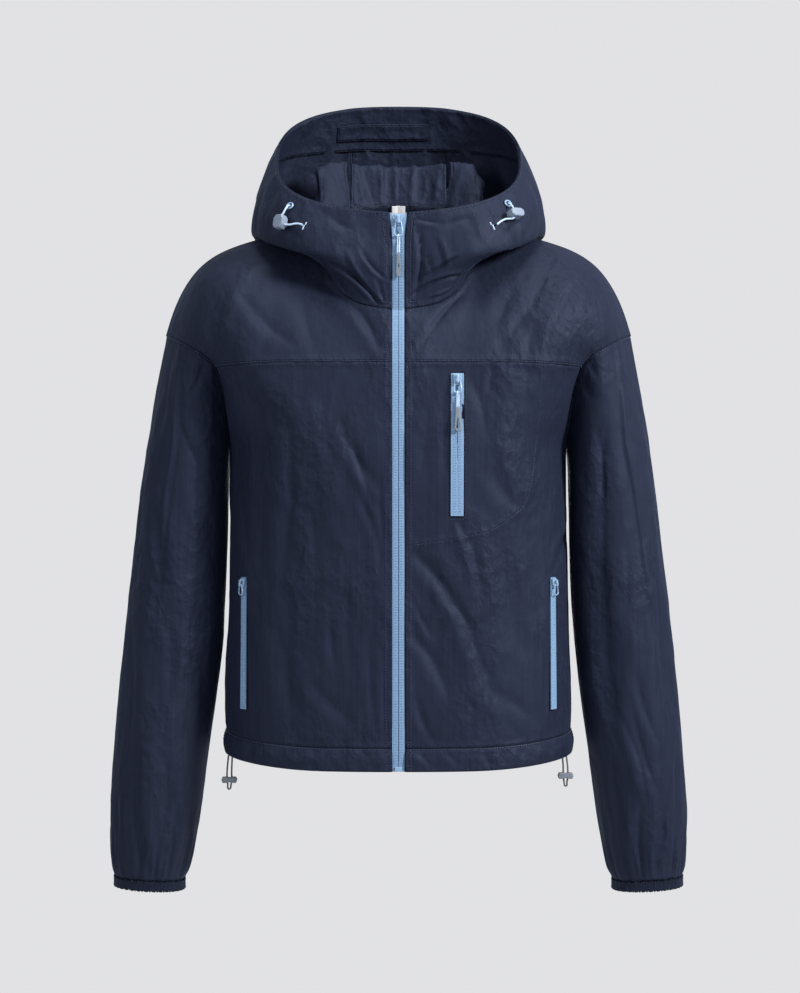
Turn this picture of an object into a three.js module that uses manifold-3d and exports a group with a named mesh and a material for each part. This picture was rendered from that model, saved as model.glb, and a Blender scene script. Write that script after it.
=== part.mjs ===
// Hooded zip jacket in thin crinkled nylon, filled out as if worn, with the hood down and open.
// Millimetres, +Z up. The wearer faces -Y and the wearer's left is +X. The origin is the middle of
// the shoulder line at the base of the neck, which is where the wearer carries the jacket.
import * as THREE from "three";
import { mergeVertices } from "three/addons/utils/BufferGeometryUtils.js";
import Module from "manifold-3d";

const wasm = await Module();
wasm.setup();

// Cloth and seams
const CLOTH = 1.2; // wall of the shell cloth
const SEAM_GAP = 0.3; // space between two pieces at a seam
const ZIP_HALF = 6.6; // half the width of zip that shows between the two front edges
const ZIP_FLARE = 2.6; // the edges part by this much more at the top of the zip
const LEFT = 1; // the wearer's left, +X
const RIGHT = -1;

// Heights of the body
const HEM_Z = -565;
const HEM_TOP_Z = -542;
const UNDERARM_Z = -233;
const YOKE_Z = -152;
const SIDE_Y = 4; // the side seams lie just behind the middle
const CHEST_FROM_Z = -340; // the body grows squarer from here up to the yoke
const HEM_SIDE_LIFT = 10; // the drawcord pulls the hem up at the sides

// Rings of the body below the arms. The casing swells and the row of stitching above it draws in.
const bodySections = [
  { z: -565, half: 184, front: 127, back: 117 },
  { z: -553, half: 187, front: 129, back: 119 },
  { z: -541, half: 182, front: 126, back: 116 },
  { z: -512, half: 184, front: 128, back: 117 },
  { z: -420, half: 180, front: 127, back: 114 },
  { z: -300, half: 178, front: 127, back: 111 },
  { z: -233, half: 178, front: 126, back: 111 },
  { z: -152, half: 178, front: 118, back: 109 },
];

// Armhole seam, from the underarm (0) over the front or the back of the arm to the shoulder (1)
const armhole = [
  { at: 0.0, x: 178, frontY: 4, frontZ: -233, backY: 4, backZ: -233 },
  { at: 0.12, x: 178, frontY: -26, frontZ: -216, backY: 34, backZ: -222 },
  { at: 0.25, x: 180, frontY: -50, frontZ: -190, backY: 60, backZ: -202 },
  { at: 0.38, x: 185, frontY: -66, frontZ: -162, backY: 74, backZ: -180 },
  { at: 0.5, x: 195, frontY: -73, frontZ: -146, backY: 80, backZ: -162 },
  { at: 0.62, x: 208, frontY: -70, frontZ: -137, backY: 76, backZ: -147 },
  { at: 0.75, x: 223, frontY: -56, frontZ: -129, backY: 60, backZ: -134 },
  { at: 0.88, x: 236, frontY: -32, frontZ: -122, backY: 32, backZ: -124 },
  { at: 1.0, x: 246, frontY: -4, frontZ: -118, backY: -4, backZ: -118 },
];
const YOKE_ARMHOLE = 0.43; // how far up the armhole the yoke seam meets it
const BACK_ARMHOLE = 0.42;

// Neck seam from the middle front to the shoulder, and from the middle back to the shoulder
const neckFront = [
  { at: 0.0, x: 0, y: -99, z: -98 },
  { at: 0.14, x: 24, y: -98, z: -96 },
  { at: 0.28, x: 46, y: -94, z: -90 },
  { at: 0.44, x: 64, y: -83, z: -76 },
  { at: 0.63, x: 76, y: -60, z: -48 },
  { at: 0.82, x: 81, y: -31, z: -18 },
  { at: 1.0, x: 81, y: -4, z: 3 },
];
const neckBack = [
  { at: 0.0, x: 0, y: 66, z: 29 },
  { at: 0.38, x: 45, y: 56, z: 24.5 },
  { at: 0.69, x: 70, y: 30, z: 14.5 },
  { at: 1.0, x: 81, y: -4, z: 3 },
];

// Shoulder seam from the neck (0) over the end of the shoulder to the armhole seam (1)
const shoulder = [
  { at: 0.0, x: 81, y: -4, z: 3 },
  { at: 0.17, x: 118, y: -5, z: -8 },
  { at: 0.34, x: 155, y: -6, z: -18 },
  { at: 0.47, x: 182, y: -7, z: -27 },
  { at: 0.58, x: 203, y: -8, z: -38 },
  { at: 0.7, x: 221, y: -8, z: -58 },
  { at: 0.84, x: 236, y: -6, z: -86 },
  { at: 1.0, x: 246, y: -4, z: -118 },
];
const NECK_SHARE = 0.4; // share of a panel's top edge that is neck, the rest is shoulder
const NECK_ROUNDNESS = 0.3; // how far the yoke bulges out beside the neck, 1 is a full round

// Vertices that the pieces share along their seams
const sideHeights = [-520, -485, -445, -400, -350, -300, -262, -233];
const ARMHOLE_STEPS = 12; // up the front or the back of the armhole
const FRONT_STEPS_BELOW = 4; // of which below the yoke seam
const BACK_STEPS_BELOW = 5;
const SHOULDER_STEPS = 8;
const FRONT_NECK_STEPS = 5;
const backNeckPlaces = [0, 0.225, 0.45, 0.725, 1];
const CENTRE_NECK_STEPS = 2; // of which on the hood's centre panel

// Fold between the arm and the body, which starts below the shoulder and deepens to the underarm
const armFold = [
  { z: -232, x: 178, depth: 0 },
  { z: -212, x: 178, depth: 6 },
  { z: -180, x: 179, depth: 12 },
  { z: -144, x: 183, depth: 14 },
  { z: -100, x: 192, depth: 8 },
  { z: -62, x: 200, depth: 0 },
];
const ARM_FOLD_WIDTH = 15;

// Largest folds of the fronts: a soft trough (depth over 0) or ridge along a line down the cloth
const frontFolds = [
  { side: RIGHT, topX: 22, topZ: -118, lowX: 70, lowZ: -200, width: 12, depth: 2.5 },
  { side: RIGHT, topX: 95, topZ: -250, lowX: 120, lowZ: -520, width: 22, depth: 3 },
  { side: RIGHT, topX: 50, topZ: -330, lowX: 62, lowZ: -540, width: 18, depth: 2.5 },
  { side: LEFT, topX: 95, topZ: -60, lowX: 60, lowZ: -140, width: 12, depth: 2.5 },
  { side: LEFT, topX: 20, topZ: -350, lowX: 48, lowZ: -470, width: 14, depth: 3 },
  { side: LEFT, topX: 120, topZ: -320, lowX: 110, lowZ: -530, width: 20, depth: 3 },
];

// Sleeve rings from the armhole seam (0) to the cuff (1): outer and inner side, half depth, middle
const sleeveSections = [
  { at: 0.0, outX: 246, outZ: -118, inX: 178, inZ: -233, depth: 75, y: 2 },
  { at: 0.11, outX: 258, outZ: -180, inX: 180, inZ: -256, depth: 71, y: 3 },
  { at: 0.22, outX: 267, outZ: -240, inX: 180, inZ: -292, depth: 67, y: 2 },
  { at: 0.42, outX: 281, outZ: -356, inX: 181.5, inZ: -380, depth: 63, y: 0 },
  { at: 0.64, outX: 294.5, outZ: -482, inX: 190, inZ: -490, depth: 59, y: -4 },
  { at: 0.76, outX: 300, outZ: -547, inX: 200, inZ: -550, depth: 56, y: -6 },
  { at: 0.87, outX: 304.5, outZ: -611, inX: 207.5, inZ: -612, depth: 52, y: -7 },
  { at: 0.94, outX: 305, outZ: -652, inX: 214, inZ: -652, depth: 47, y: -8 },
  { at: 0.98, outX: 302.5, outZ: -676, inX: 220, inZ: -676, depth: 42, y: -8 },
  { at: 1.0, outX: 300, outZ: -688.5, inX: 225.5, inZ: -688.5, depth: 37.5, y: -8 },
];
const SLEEVE_SQUARE = 2.15;
const ARMHOLE_FADE = 0.3; // the sleeve's rings take up the armhole's curve over this stretch
const CUFF_GATHERS = 16;
const GATHER_HEIGHT = 1.8;
const CUFF_HEIGHT = 10.5;
const CUFF_RIBS = 32;
const CUFF_WALL = 1.6;
const RIB_HEIGHT = 0.7;

// Largest folds of a sleeve: troughs along the sleeve, by their place round it (0 inner, 0.25 front)
const sleeveFolds = [
  { round: 0.17, from: 0.3, to: 0.95, width: 0.045, depth: 3.5 },
  { round: 0.3, from: 0.12, to: 0.55, width: 0.04, depth: 3 },
  { round: 0.4, from: 0.45, to: 0.9, width: 0.035, depth: 2.5 },
  { round: 0.64, from: 0.2, to: 0.7, width: 0.05, depth: 3 },
  { round: 0.82, from: 0.4, to: 0.95, width: 0.045, depth: 3.5 },
];

// Hood. Its face opening is a tilted loop, low at the zip and high at the back.
const RIM_HALF_WIDTH = 130;
const RIM_HALF_DEPTH = 101;
const RIM_MIDDLE_Z = 72;
const RIM_SLOPE = 0.68;
const RIM_SQUARE = 2.6;
const RIM_DIP = 3.4; // the opening dips at the zip
const RIM_DIP_WIDTH = 48;
// Lowest fold of the hood, where the cloth that lies on the shoulders turns up to the opening.
// at: 0 middle front, 1 middle back. belly: how far the cloth above the fold swells out.
// bend: share of the cloth on each side of the fold that is rounded.
const hoodRoll = [
  { at: 0.0, x: 0, y: -101, z: -50, belly: 0, bend: 0.12 },
  { at: 0.1, x: 34, y: -106, z: -50, belly: 2, bend: 0.1 },
  { at: 0.2, x: 66, y: -109, z: -45, belly: 6, bend: 0.05 },
  { at: 0.32, x: 104, y: -96, z: -40, belly: 8, bend: 0.03 },
  { at: 0.43, x: 138, y: -60, z: -28, belly: 8, bend: 0.03 },
  { at: 0.53, x: 155, y: -14, z: -14, belly: 8, bend: 0.03 },
  { at: 0.62, x: 156, y: 34, z: -20, belly: 9, bend: 0.05 },
  { at: 0.72, x: 141, y: 82, z: -46, belly: 12, bend: 0.08 },
  { at: 0.86, x: 88, y: 116, z: -78, belly: 18, bend: 0.13 },
  { at: 1.0, x: 0, y: 128, z: -90, belly: 20, bend: 0.15 },
];
// How high the cloth stands up inside the hood behind the neck before it drops into the crown
const hoodRidge = [
  { at: 0.0, rise: 0 },
  { at: 0.55, rise: 4 },
  { at: 0.66, rise: 14 },
  { at: 0.73, rise: 46 },
  { at: 0.78, rise: 70 },
  { at: 0.86, rise: 72 },
  { at: 1.0, rise: 70 },
];
const RIDGE_AT = 0.2; // share of the lower layer, from the neck seam, where the ridge stands
const HOOD_LIFT = 0.85; // the whole hood stands this far above the neck seam
const HOOD_CLEARANCE = 1.8; // the lower layer rests this far above the shoulders
const CENTRE_PANEL_HALF = 51.5;
const hoodLevels = [0, 0.04, 0.09, 0.14, 0.2, 0.3, 0.4, 0.46, 0.5, 0.54, 0.6, 0.7, 0.8, 0.9, 0.95, 1];

// Casing, strip and label. Shares are of the hood's layer from the fold to the opening.
const FACING = 1;
const CASING_FRONT = 0.2;
const CASING_BACK = 0.1;
const STRIP_LOW = 0.5;
const STRIP_HIGH = 1.25;
const STRIP_TO_RIGHT = 68;
const STRIP_TO_LEFT = 33;
const LABEL_HALF = 7.5;
const LABEL_LOW = 1.8;
const LABEL_HIGH = 1.995;

// Zips
const TAPE_SET_BACK = 0.4; // the front tapes lie this far behind the face of the cloth
const TAPE_PARTING = 4.5; // they part by this much above the slider
const SLIDER_PLATE = 1.8;
const BRIDGE_WIDTH = 2.4;
const RING_PLAY = 0.45;
const PULL_CORD = 1.4;
const GRIP_DEPTH = 2.4;
const FRONT_SLIDER_AT = 0.927; // share of the way from the neck seam to the opening
const POCKET_SLIDER_OUT = 0.6;
const pulls = {
  front: {
    width: 8, height: 11, wire: 1.6, ringWidth: 9.5, ringHeight: 16.5, cord: 16.5,
    grip: 24, gripWidth: 5.4, holeFrom: 0.45, holeTo: 0.62,
  },
  chest: {
    width: 8, height: 11.5, wire: 1.6, ringWidth: 9, ringHeight: 13.5, cord: 14,
    grip: 24, gripWidth: 7, holeFrom: 0.45, holeTo: 0.9,
  },
  pocket: { width: 7, height: 9.5, wire: 1.4, ringWidth: 8, ringHeight: 12 },
};
const handZip = { x: 158.4, lowX: 158.8, top: -371, bottom: -508.5, width: 9 };
const chestZip = { x: 59.6, lowX: 59, top: -163.6, bottom: -307.6, width: 13 };
const pocketZips = [
  { name: "chest", side: LEFT, strip: chestZip, pull: "chest", drop: 6.5 },
  { name: "pocket_left", side: LEFT, strip: handZip, pull: "pocket", drop: 6 },
  { name: "pocket_right", side: RIGHT, strip: handZip, pull: "pocket", drop: 6 },
];

// Drawcords. x and z are where a piece shows from the front, out is its height over the cloth.
const EYELET_RADIUS = 4.5;
const EYELET_HOLE = 2.4;
const HOOD_CORD = 2;
const hoodCords = {
  right: {
    eyelet: { x: 110.9, z: 10 },
    lock: { x: 117, z: -8.5, out: 6.5, width: 13, height: 14, depth: 9 },
    path: [
      { x: 110.9, z: 10, out: 1.4 }, { x: 111.5, z: 7, out: 5 }, { x: 114, z: 0.5, out: 6.5 },
      { x: 117, z: -7, out: 6.5 }, { x: 114.5, z: -11.5, out: 6.5 }, { x: 108, z: -11.5, out: 4 },
      { x: 102, z: -10.5, out: 2.2 }, { x: 97, z: -12, out: 1.5 },
    ],
  },
  left: {
    eyelet: { x: 112.5, z: 12.5 },
    lock: { x: 115.5, z: -1, out: 7.5, width: 16.5, height: 9, depth: 10 },
    path: [
      { x: 112.5, z: 12.5, out: 1.4 }, { x: 112.8, z: 9, out: 5 }, { x: 114, z: 4, out: 7.5 },
      { x: 115, z: -1, out: 7.5 }, { x: 113, z: -6, out: 7 }, { x: 108, z: -6, out: 4 },
      { x: 103.5, z: -8, out: 2.2 }, { x: 99.8, z: -11, out: 1.5 },
    ],
  },
};
const HEM_CORD = 1.8;
const HEM_STRANDS = 4.6;
const LOCK_WIDTH = 16.5;
const LOCK_HEIGHT = 6.5;
const LOCK_DEPTH = 7;
const hemLoops = {
  right: { x: 174.5, lock: -582, low: -592, lean: 1 },
  left: { x: 172, lock: -577, low: -588, lean: 1 },
};

// Arithmetic on the tables
const clamp01 = (t) => Math.min(1, Math.max(0, t));
const mix = (a, b, t) => a + (b - a) * t;
const step = (from, to, value) => {
  const t = clamp01((value - from) / (to - from));
  return t * t * (3 - 2 * t);
};
const bell = (value) => Math.exp(-value * value);
const powSin = (angle, power) => Math.sign(Math.sin(angle)) * Math.abs(Math.sin(angle)) ** power;
const powCos = (angle, power) => Math.sign(Math.cos(angle)) * Math.abs(Math.cos(angle)) ** power;
/** count + 1 numbers from one value to another. */
const steps = (from, to, count) => Array.from({ length: count + 1 }, (_, i) => mix(from, to, i / count));

/** Value of a table's column at a place between its rows, on a smooth curve through them. */
function look(table, key, column, place) {
  const last = table.length - 1;
  let i = 0;
  while (i < last - 1 && place > table[i + 1][key]) i += 1;
  const slope = (k) => {
    const low = table[Math.max(0, k - 1)];
    const high = table[Math.min(last, k + 1)];
    return (high[column] - low[column]) / (high[key] - low[key]);
  };
  const span = table[i + 1][key] - table[i][key];
  const t = clamp01((place - table[i][key]) / span);
  const a = table[i][column];
  const b = table[i + 1][column];
  const bend = (1 - t) * slope(i) * span - t * slope(i + 1) * span - (1 - 2 * t) * (b - a);
  return mix(a, b, t) + t * (1 - t) * bend;
}

const point = (table, place) =>
  new THREE.Vector3(
    look(table, "at", "x", place),
    look(table, "at", "y", place),
    look(table, "at", "z", place),
  );
const levelOf = (z) => (z - HEM_Z) / (YOKE_Z - HEM_Z);

// Body surface

/** Armhole seam without its fold. facing is -1 in front, 1 behind. */
function plainArmhole(place, facing) {
  return new THREE.Vector3(
    look(armhole, "at", "x", place),
    look(armhole, "at", facing < 0 ? "frontY" : "backY", place),
    look(armhole, "at", facing < 0 ? "frontZ" : "backZ", place),
  );
}

const yokeAt = (facing) => (facing < 0 ? YOKE_ARMHOLE : BACK_ARMHOLE);
const rowCache = new Map();

/** Points along one level of the front or back, from the middle to the side seam or armhole. */
function bodyRow(level, facing) {
  const key = facing + ":" + level.toFixed(4);
  if (rowCache.has(key)) return rowCache.get(key);
  const above = clamp01((level - UNDERARM_Z) / (YOKE_Z - UNDERARM_Z));
  const squarer = step(CHEST_FROM_Z, YOKE_Z, level);
  const depth = look(bodySections, "z", facing < 0 ? "front" : "back", level);
  const seam = new THREE.Vector3(look(bodySections, "z", "half", level), SIDE_Y, level);
  if (above > 0) seam.copy(plainArmhole(yokeAt(facing) * above, facing));
  const end = new THREE.Vector3(seam.x, SIDE_Y, level);
  end.lerp(new THREE.Vector3(seam.x, plainArmhole(yokeAt(facing), facing).y, level), squarer);
  seam.sub(end);
  const power = 2 / mix(2.5, 3, squarer);
  const samples = 90;
  const points = [];
  const lengths = [0];
  for (let i = 0; i <= samples; i += 1) {
    const angle = (i / samples) * (Math.PI / 2);
    const share = powSin(angle, power);
    const y = end.y + (facing * depth - end.y) * powCos(angle, power);
    const p = new THREE.Vector3(end.x * share, y, level);
    points.push(p.addScaledVector(seam, step(0.6, 1, share)));
    if (i) lengths.push(lengths[i - 1] + points[i].distanceTo(points[i - 1]));
  }
  const row = { points, lengths };
  rowCache.set(key, row);
  return row;
}

function alongRow(row, share) {
  const target = clamp01(share) * row.lengths[row.lengths.length - 1];
  let i = 1;
  while (i < row.lengths.length - 1 && row.lengths[i] < target) i += 1;
  const t = (target - row.lengths[i - 1]) / (row.lengths[i] - row.lengths[i - 1]);
  return row.points[i - 1].clone().lerp(row.points[i], t);
}

function topEdge(u, facing) {
  if (u <= NECK_SHARE) return point(facing < 0 ? neckFront : neckBack, u / NECK_SHARE);
  return point(shoulder, (u - NECK_SHARE) / (1 - NECK_SHARE));
}

/** Plain point above the yoke seam (w = 0) up to the neck and shoulder (w = 1). */
function upperPoint(u, w, facing) {
  const low = alongRow(bodyRow(YOKE_Z, facing), u);
  const high = topEdge(u, facing);
  const roundness = mix(NECK_ROUNDNESS, 1, step(NECK_SHARE * 0.6, 0.85, u));
  const forward = mix(1 - w, Math.cos((w * Math.PI) / 2), roundness);
  const upward = mix(w, Math.sin((w * Math.PI) / 2), roundness);
  return new THREE.Vector3(
    mix(low.x, high.x, upward),
    mix(high.y, low.y, forward),
    mix(low.z, high.z, upward),
  );
}

/** Point of the body on the wearer's left. v: 0 hem, 1 yoke seam or its level, 2 neck and shoulder. */
function bodyPoint(u, v, facing, side) {
  let p;
  let fade = 1;
  if (v <= 1) {
    p = alongRow(bodyRow(mix(HEM_Z, YOKE_Z, v), facing), u);
    p.z += HEM_SIDE_LIFT * step(0.3, 1, u) * step(levelOf(-480), levelOf(HEM_TOP_Z), v);
  } else {
    const w = v - 1;
    p = upperPoint(u, w, facing);
    const drawn = plainArmhole(mix(yokeAt(facing), 1, w), facing).sub(upperPoint(1, w, facing));
    p.addScaledVector(drawn, step(0.55, 1, u));
    fade = step(1, 0.7, w);
  }
  const acrossArm = (p.x - look(armFold, "z", "x", p.z)) / ARM_FOLD_WIDTH;
  p.y -= facing * look(armFold, "z", "depth", p.z) * fade * bell(acrossArm);
  for (const fold of frontFolds) {
    if (facing > 0 || fold.side !== side) continue;
    const t = (fold.topZ - p.z) / (fold.topZ - fold.lowZ);
    const across = (p.x - mix(fold.topX, fold.lowX, clamp01(t))) / fold.width;
    p.y += fold.depth * bell(across) * step(-0.25, 0.3, t) * step(1.25, 0.7, t) * step(1, 0.8, u);
  }
  return p;
}

/** Where the body meets the sleeve: 0 underarm, 1 end of the shoulder. */
function armholePoint(place, facing) {
  const top = yokeAt(facing);
  if (place <= top) return bodyPoint(1, levelOf(mix(UNDERARM_Z, YOKE_Z, place / top)), facing, LEFT);
  return bodyPoint(1, 1 + (place - top) / (1 - top), facing, LEFT);
}

// Sleeve surface

/** Places of the seam's vertices round the armhole, which the body and the sleeve share. */
const armholePlaces = (facing) => {
  const below = facing < 0 ? FRONT_STEPS_BELOW : BACK_STEPS_BELOW;
  const low = steps(0, yokeAt(facing), below);
  return [...low, ...steps(yokeAt(facing), 1, ARMHOLE_STEPS - below).slice(1)];
};

/** Seam point at round, on the straight lines between the shared vertices. round: 0 inner, 0.25 front. */
function seamAtArm(round) {
  const facing = round <= 0.5 ? -1 : 1;
  const along = (round <= 0.5 ? round : 1 - round) * 2 * ARMHOLE_STEPS;
  const places = armholePlaces(facing);
  const i = Math.min(ARMHOLE_STEPS - 1, Math.floor(along + 1e-9));
  const from = armholePoint(places[i], facing);
  return from.lerp(armholePoint(places[i + 1], facing), along - i);
}

function sleevePoint(round, v) {
  const turn = round - Math.floor(round);
  const angle = turn * 2 * Math.PI;
  const ringPoint = (place) => {
    const get = (column) => look(sleeveSections, "at", column, place);
    const across = (1 - powCos(angle, 2 / SLEEVE_SQUARE)) / 2;
    return new THREE.Vector3(
      mix(get("inX"), get("outX"), across),
      get("y") - get("depth") * powSin(angle, 2 / SLEEVE_SQUARE),
      mix(get("inZ"), get("outZ"), across),
    );
  };
  const p = ringPoint(v);
  p.addScaledVector(seamAtArm(turn).sub(ringPoint(0)), 1 - step(0, ARMHOLE_FADE, v));
  const outward = new THREE.Vector3(-Math.cos(angle), -Math.sin(angle), 0);
  let lift = 0;
  for (const fold of sleeveFolds) {
    const begins = step(fold.from, mix(fold.from, fold.to, 0.4), v);
    const ends = step(fold.to, mix(fold.to, fold.from, 0.4), v);
    lift -= fold.depth * bell((turn - fold.round) / fold.width) * begins * ends;
  }
  const gather = step(0.86, 0.975, v) * mix(1, 0.45, step(0.975, 1, v));
  lift += GATHER_HEIGHT * gather * (Math.cos(CUFF_GATHERS * angle) - 0.3);
  return p.addScaledVector(outward, lift);
}

function cuffPoint(round, v) {
  const last = sleeveSections[sleeveSections.length - 1];
  const angle = round * 2 * Math.PI;
  const across = (1 - powCos(angle, 2 / SLEEVE_SQUARE)) / 2;
  return new THREE.Vector3(
    mix(last.inX, last.outX, across),
    last.y - last.depth * powSin(angle, 2 / SLEEVE_SQUARE),
    last.outZ - SEAM_GAP - v * CUFF_HEIGHT,
  );
}

// Hood surface

/** Straight lines between the neck seam's vertices: a 0 middle front, 0.5 shoulder, 1 middle back. */
function neckPoint(a) {
  const front = a <= 0.5;
  const table = front ? neckFront : neckBack;
  const places = front ? frontNeckPlaces : backNeckPlaces;
  const place = (front ? a : 1 - a) * 2;
  let i = 0;
  while (i < places.length - 2 && place > places[i + 1]) i += 1;
  const from = point(table, places[i]);
  return from.lerp(point(table, places[i + 1]), (place - places[i]) / (places[i + 1] - places[i]));
}

function rimPoint(a) {
  const angle = a * Math.PI;
  const x = RIM_HALF_WIDTH * powSin(angle, 2 / RIM_SQUARE);
  const y = -RIM_HALF_DEPTH * powCos(angle, 2 / RIM_SQUARE);
  const dip = y < 0 ? RIM_DIP * Math.exp(-((x / RIM_DIP_WIDTH) ** 2)) : 0;
  return new THREE.Vector3(x, y, RIM_MIDDLE_Z + RIM_SLOPE * y - dip);
}

/** Height of the shoulders' cloth at x, y, or far below where there is none. */
function shoulderHeight(grids, x, y) {
  let height = -1000;
  const corner = new THREE.Vector3();
  for (const rows of grids) {
    for (let i = 1; i < rows.length; i += 1) {
      for (let j = 1; j < rows[i].length; j += 1) {
        const quad = [rows[i - 1][j - 1], rows[i - 1][j], rows[i][j], rows[i][j - 1]];
        for (const [b, c] of [[1, 2], [2, 3]]) {
          const flat = [quad[0], quad[b], quad[c]].map(({ p }) => new THREE.Vector3(p.x, p.y, 0));
          if (!THREE.Triangle.getBarycoord(new THREE.Vector3(x, y, 0), ...flat, corner)) continue;
          if (Math.min(corner.x, corner.y, corner.z) < 0) continue;
          const z = corner.x * quad[0].p.z + corner.y * quad[b].p.z + corner.z * quad[c].p.z;
          height = Math.max(height, z);
        }
      }
    }
  }
  return height;
}

/** Makes the hood's surface, which rests on the grids of the shoulders. */
function hoodOver(grids) {
  const bare = (a, t) => {
    const roll = point(hoodRoll, a);
    const upper = t > 0.5;
    const share = upper ? (t - 0.5) * 2 : t * 2;
    const p = upper ? roll.clone().lerp(rimPoint(a), share) : neckPoint(a).lerp(roll, share);
    if (upper) {
      const outward = new THREE.Vector3(p.x, p.y * 1.2, 0).normalize();
      return p.addScaledVector(outward, look(hoodRoll, "at", "belly", a) * 4 * share * (1 - share));
    }
    const rise = look(hoodRidge, "at", "rise", a);
    p.z += rise * (share < RIDGE_AT ? step(0, RIDGE_AT, share) : step(0.95, RIDGE_AT, share));
    const clearance = HOOD_CLEARANCE * step(0, 0.05, share);
    const floor = shoulderHeight(grids, p.x, p.y) + clearance;
    const above = p.z - floor;
    p.z = floor + (above + Math.hypot(above, clearance)) / 2;
    return p;
  };
  const cache = new Map();
  return (a, t) => {
    const key = a.toFixed(6) + ":" + t.toFixed(6);
    if (cache.has(key)) return cache.get(key).clone();
    const reach = look(hoodRoll, "at", "bend", a);
    const s = (t - 0.5 + reach) / (2 * reach);
    let p;
    if (s <= 0 || s >= 1) {
      p = bare(a, t);
    } else {
      const low = bare(a, 0.5 - reach).lerp(bare(a, 0.5), s);
      p = low.lerp(bare(a, 0.5).lerp(bare(a, 0.5 + reach), s), s);
    }
    p.z += HOOD_LIFT;
    cache.set(key, p.clone());
    return p;
  };
}

// Solids

/** Grid of points and outward normals of a surface, mirrored when it is on the wearer's right. */
function sample(surface, us, vs, side, turn, top = 1, ring = false) {
  const small = 1e-3;
  return vs.map((v) =>
    us(v).map((u) => {
      const p = surface(u, v);
      const before = surface(ring ? u - small : Math.max(0, u - small), v);
      const after = surface(ring ? u + small : Math.min(1, u + small), v);
      const below = surface(u, Math.max(0, v - small));
      const above = surface(u, Math.min(top, v + small));
      const n = after.sub(before).cross(above.sub(below)).normalize().multiplyScalar(turn);
      return {
        p: new THREE.Vector3(p.x * side, p.y, p.z),
        n: new THREE.Vector3(n.x * side, n.y, n.z),
      };
    }),
  );
}

/** Both halves of a grid that lies over the middle, joined from right to left. */
function bothSides(surface, half, vs, turn, top) {
  const left = sample(surface, half, vs, LEFT, turn, top);
  const right = sample(surface, half, vs, RIGHT, turn, top);
  return left.map((row, i) => [...right[i].slice(1).reverse(), ...row]);
}

/** Sews grids: edge points that meet get one normal between them and stand apart by the seam gap. */
function sew(grids) {
  const edges = [];
  grids.forEach(({ rows, ring }, piece) => {
    const last = rows.length - 1;
    const end = rows[0].length - 1;
    rows.forEach((row, i) =>
      row.forEach((cell, j) => {
        const inward = new THREE.Vector3();
        const lean = (other) => inward.add(other.p.clone().sub(cell.p).normalize());
        if (i === 0) lean(rows[1][j]);
        if (i === last) lean(rows[last - 1][j]);
        if (!ring && j === 0) lean(row[1]);
        if (!ring && j === end) lean(row[end - 1]);
        if (inward.lengthSq() > 0) edges.push({ piece, cell, inward });
      }),
    );
  });
  const moves = [];
  for (const edge of edges) {
    const meets = (other) => other.piece !== edge.piece && other.cell.p.distanceTo(edge.cell.p) < 0.05;
    const mates = edges.filter(meets);
    if (!mates.length) continue;
    const n = edge.cell.n.clone();
    const away = new THREE.Vector3();
    for (const mate of mates) {
      n.add(mate.cell.n);
      away.add(edge.inward).sub(mate.inward);
    }
    if (n.length() < 0.2) n.copy(edge.cell.n);
    moves.push({ cell: edge.cell, n: n.normalize(), away: away.setLength(SEAM_GAP / 2) });
  }
  for (const { cell, n, away } of moves) {
    cell.n.copy(n);
    cell.p.add(away);
  }
}

/** Puts a row's odd points, which have no mate, on the straight lines between their neighbours. */
function straighten(row) {
  for (let j = 1; j < row.length; j += 2) {
    const next = row[(j + 1) % row.length];
    row[j].p.copy(row[j - 1].p).lerp(next.p, 0.5);
    row[j].n.copy(row[j - 1].n).add(next.n).normalize();
  }
}

/** The same grid moved out along its normals, or in when the distance is below 0. */
const shifted = (rows, out) =>
  rows.map((row) => row.map(({ p, n }) => ({ p: p.clone().addScaledVector(n, out), n })));

/** Closed wall: the grid's points outside, and the same points moved in by the wall's thickness.
 *  From the column mirrorFrom on, its faces are split along their other diagonal. */
function wall(rows, { thickness = CLOTH, ring = false, ribs = () => 0, mirrorFrom = Infinity } = {}) {
  const height = rows.length;
  const width = rows[0].length;
  const positions = [];
  const index = [];
  rows.forEach((row, i) =>
    row.forEach(({ p, n }, j) => positions.push(...p.clone().addScaledVector(n, ribs(i, j)))),
  );
  for (const { p, n } of rows.flat()) positions.push(...p.clone().addScaledVector(n, -thickness));
  const outer = (i, j) => i * width + (j % width);
  const inner = (i, j) => outer(i, j) + height * width;
  const quad = (a, b, c, d) => index.push(a, b, c, a, c, d);
  const columns = ring ? width : width - 1;
  for (let j = 0; j < columns; j += 1) {
    for (let i = 0; i < height - 1; i += 1) {
      const out = [outer(i, j), outer(i, j + 1), outer(i + 1, j + 1), outer(i + 1, j)];
      const within = [inner(i, j), inner(i + 1, j), inner(i + 1, j + 1), inner(i, j + 1)];
      if (j >= mirrorFrom) [out, within].forEach((corners) => corners.push(corners.shift()));
      quad(...out);
      quad(...within);
    }
    const top = height - 1;
    quad(inner(0, j), inner(0, j + 1), outer(0, j + 1), outer(0, j));
    quad(inner(top, j), outer(top, j), outer(top, j + 1), inner(top, j + 1));
  }
  if (!ring) {
    for (let i = 0; i < height - 1; i += 1) {
      const end = width - 1;
      quad(inner(i, 0), outer(i, 0), outer(i + 1, 0), inner(i + 1, 0));
      quad(inner(i, end), inner(i + 1, end), outer(i + 1, end), outer(i, end));
    }
  }
  return facingOut(positions, index);
}

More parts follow.
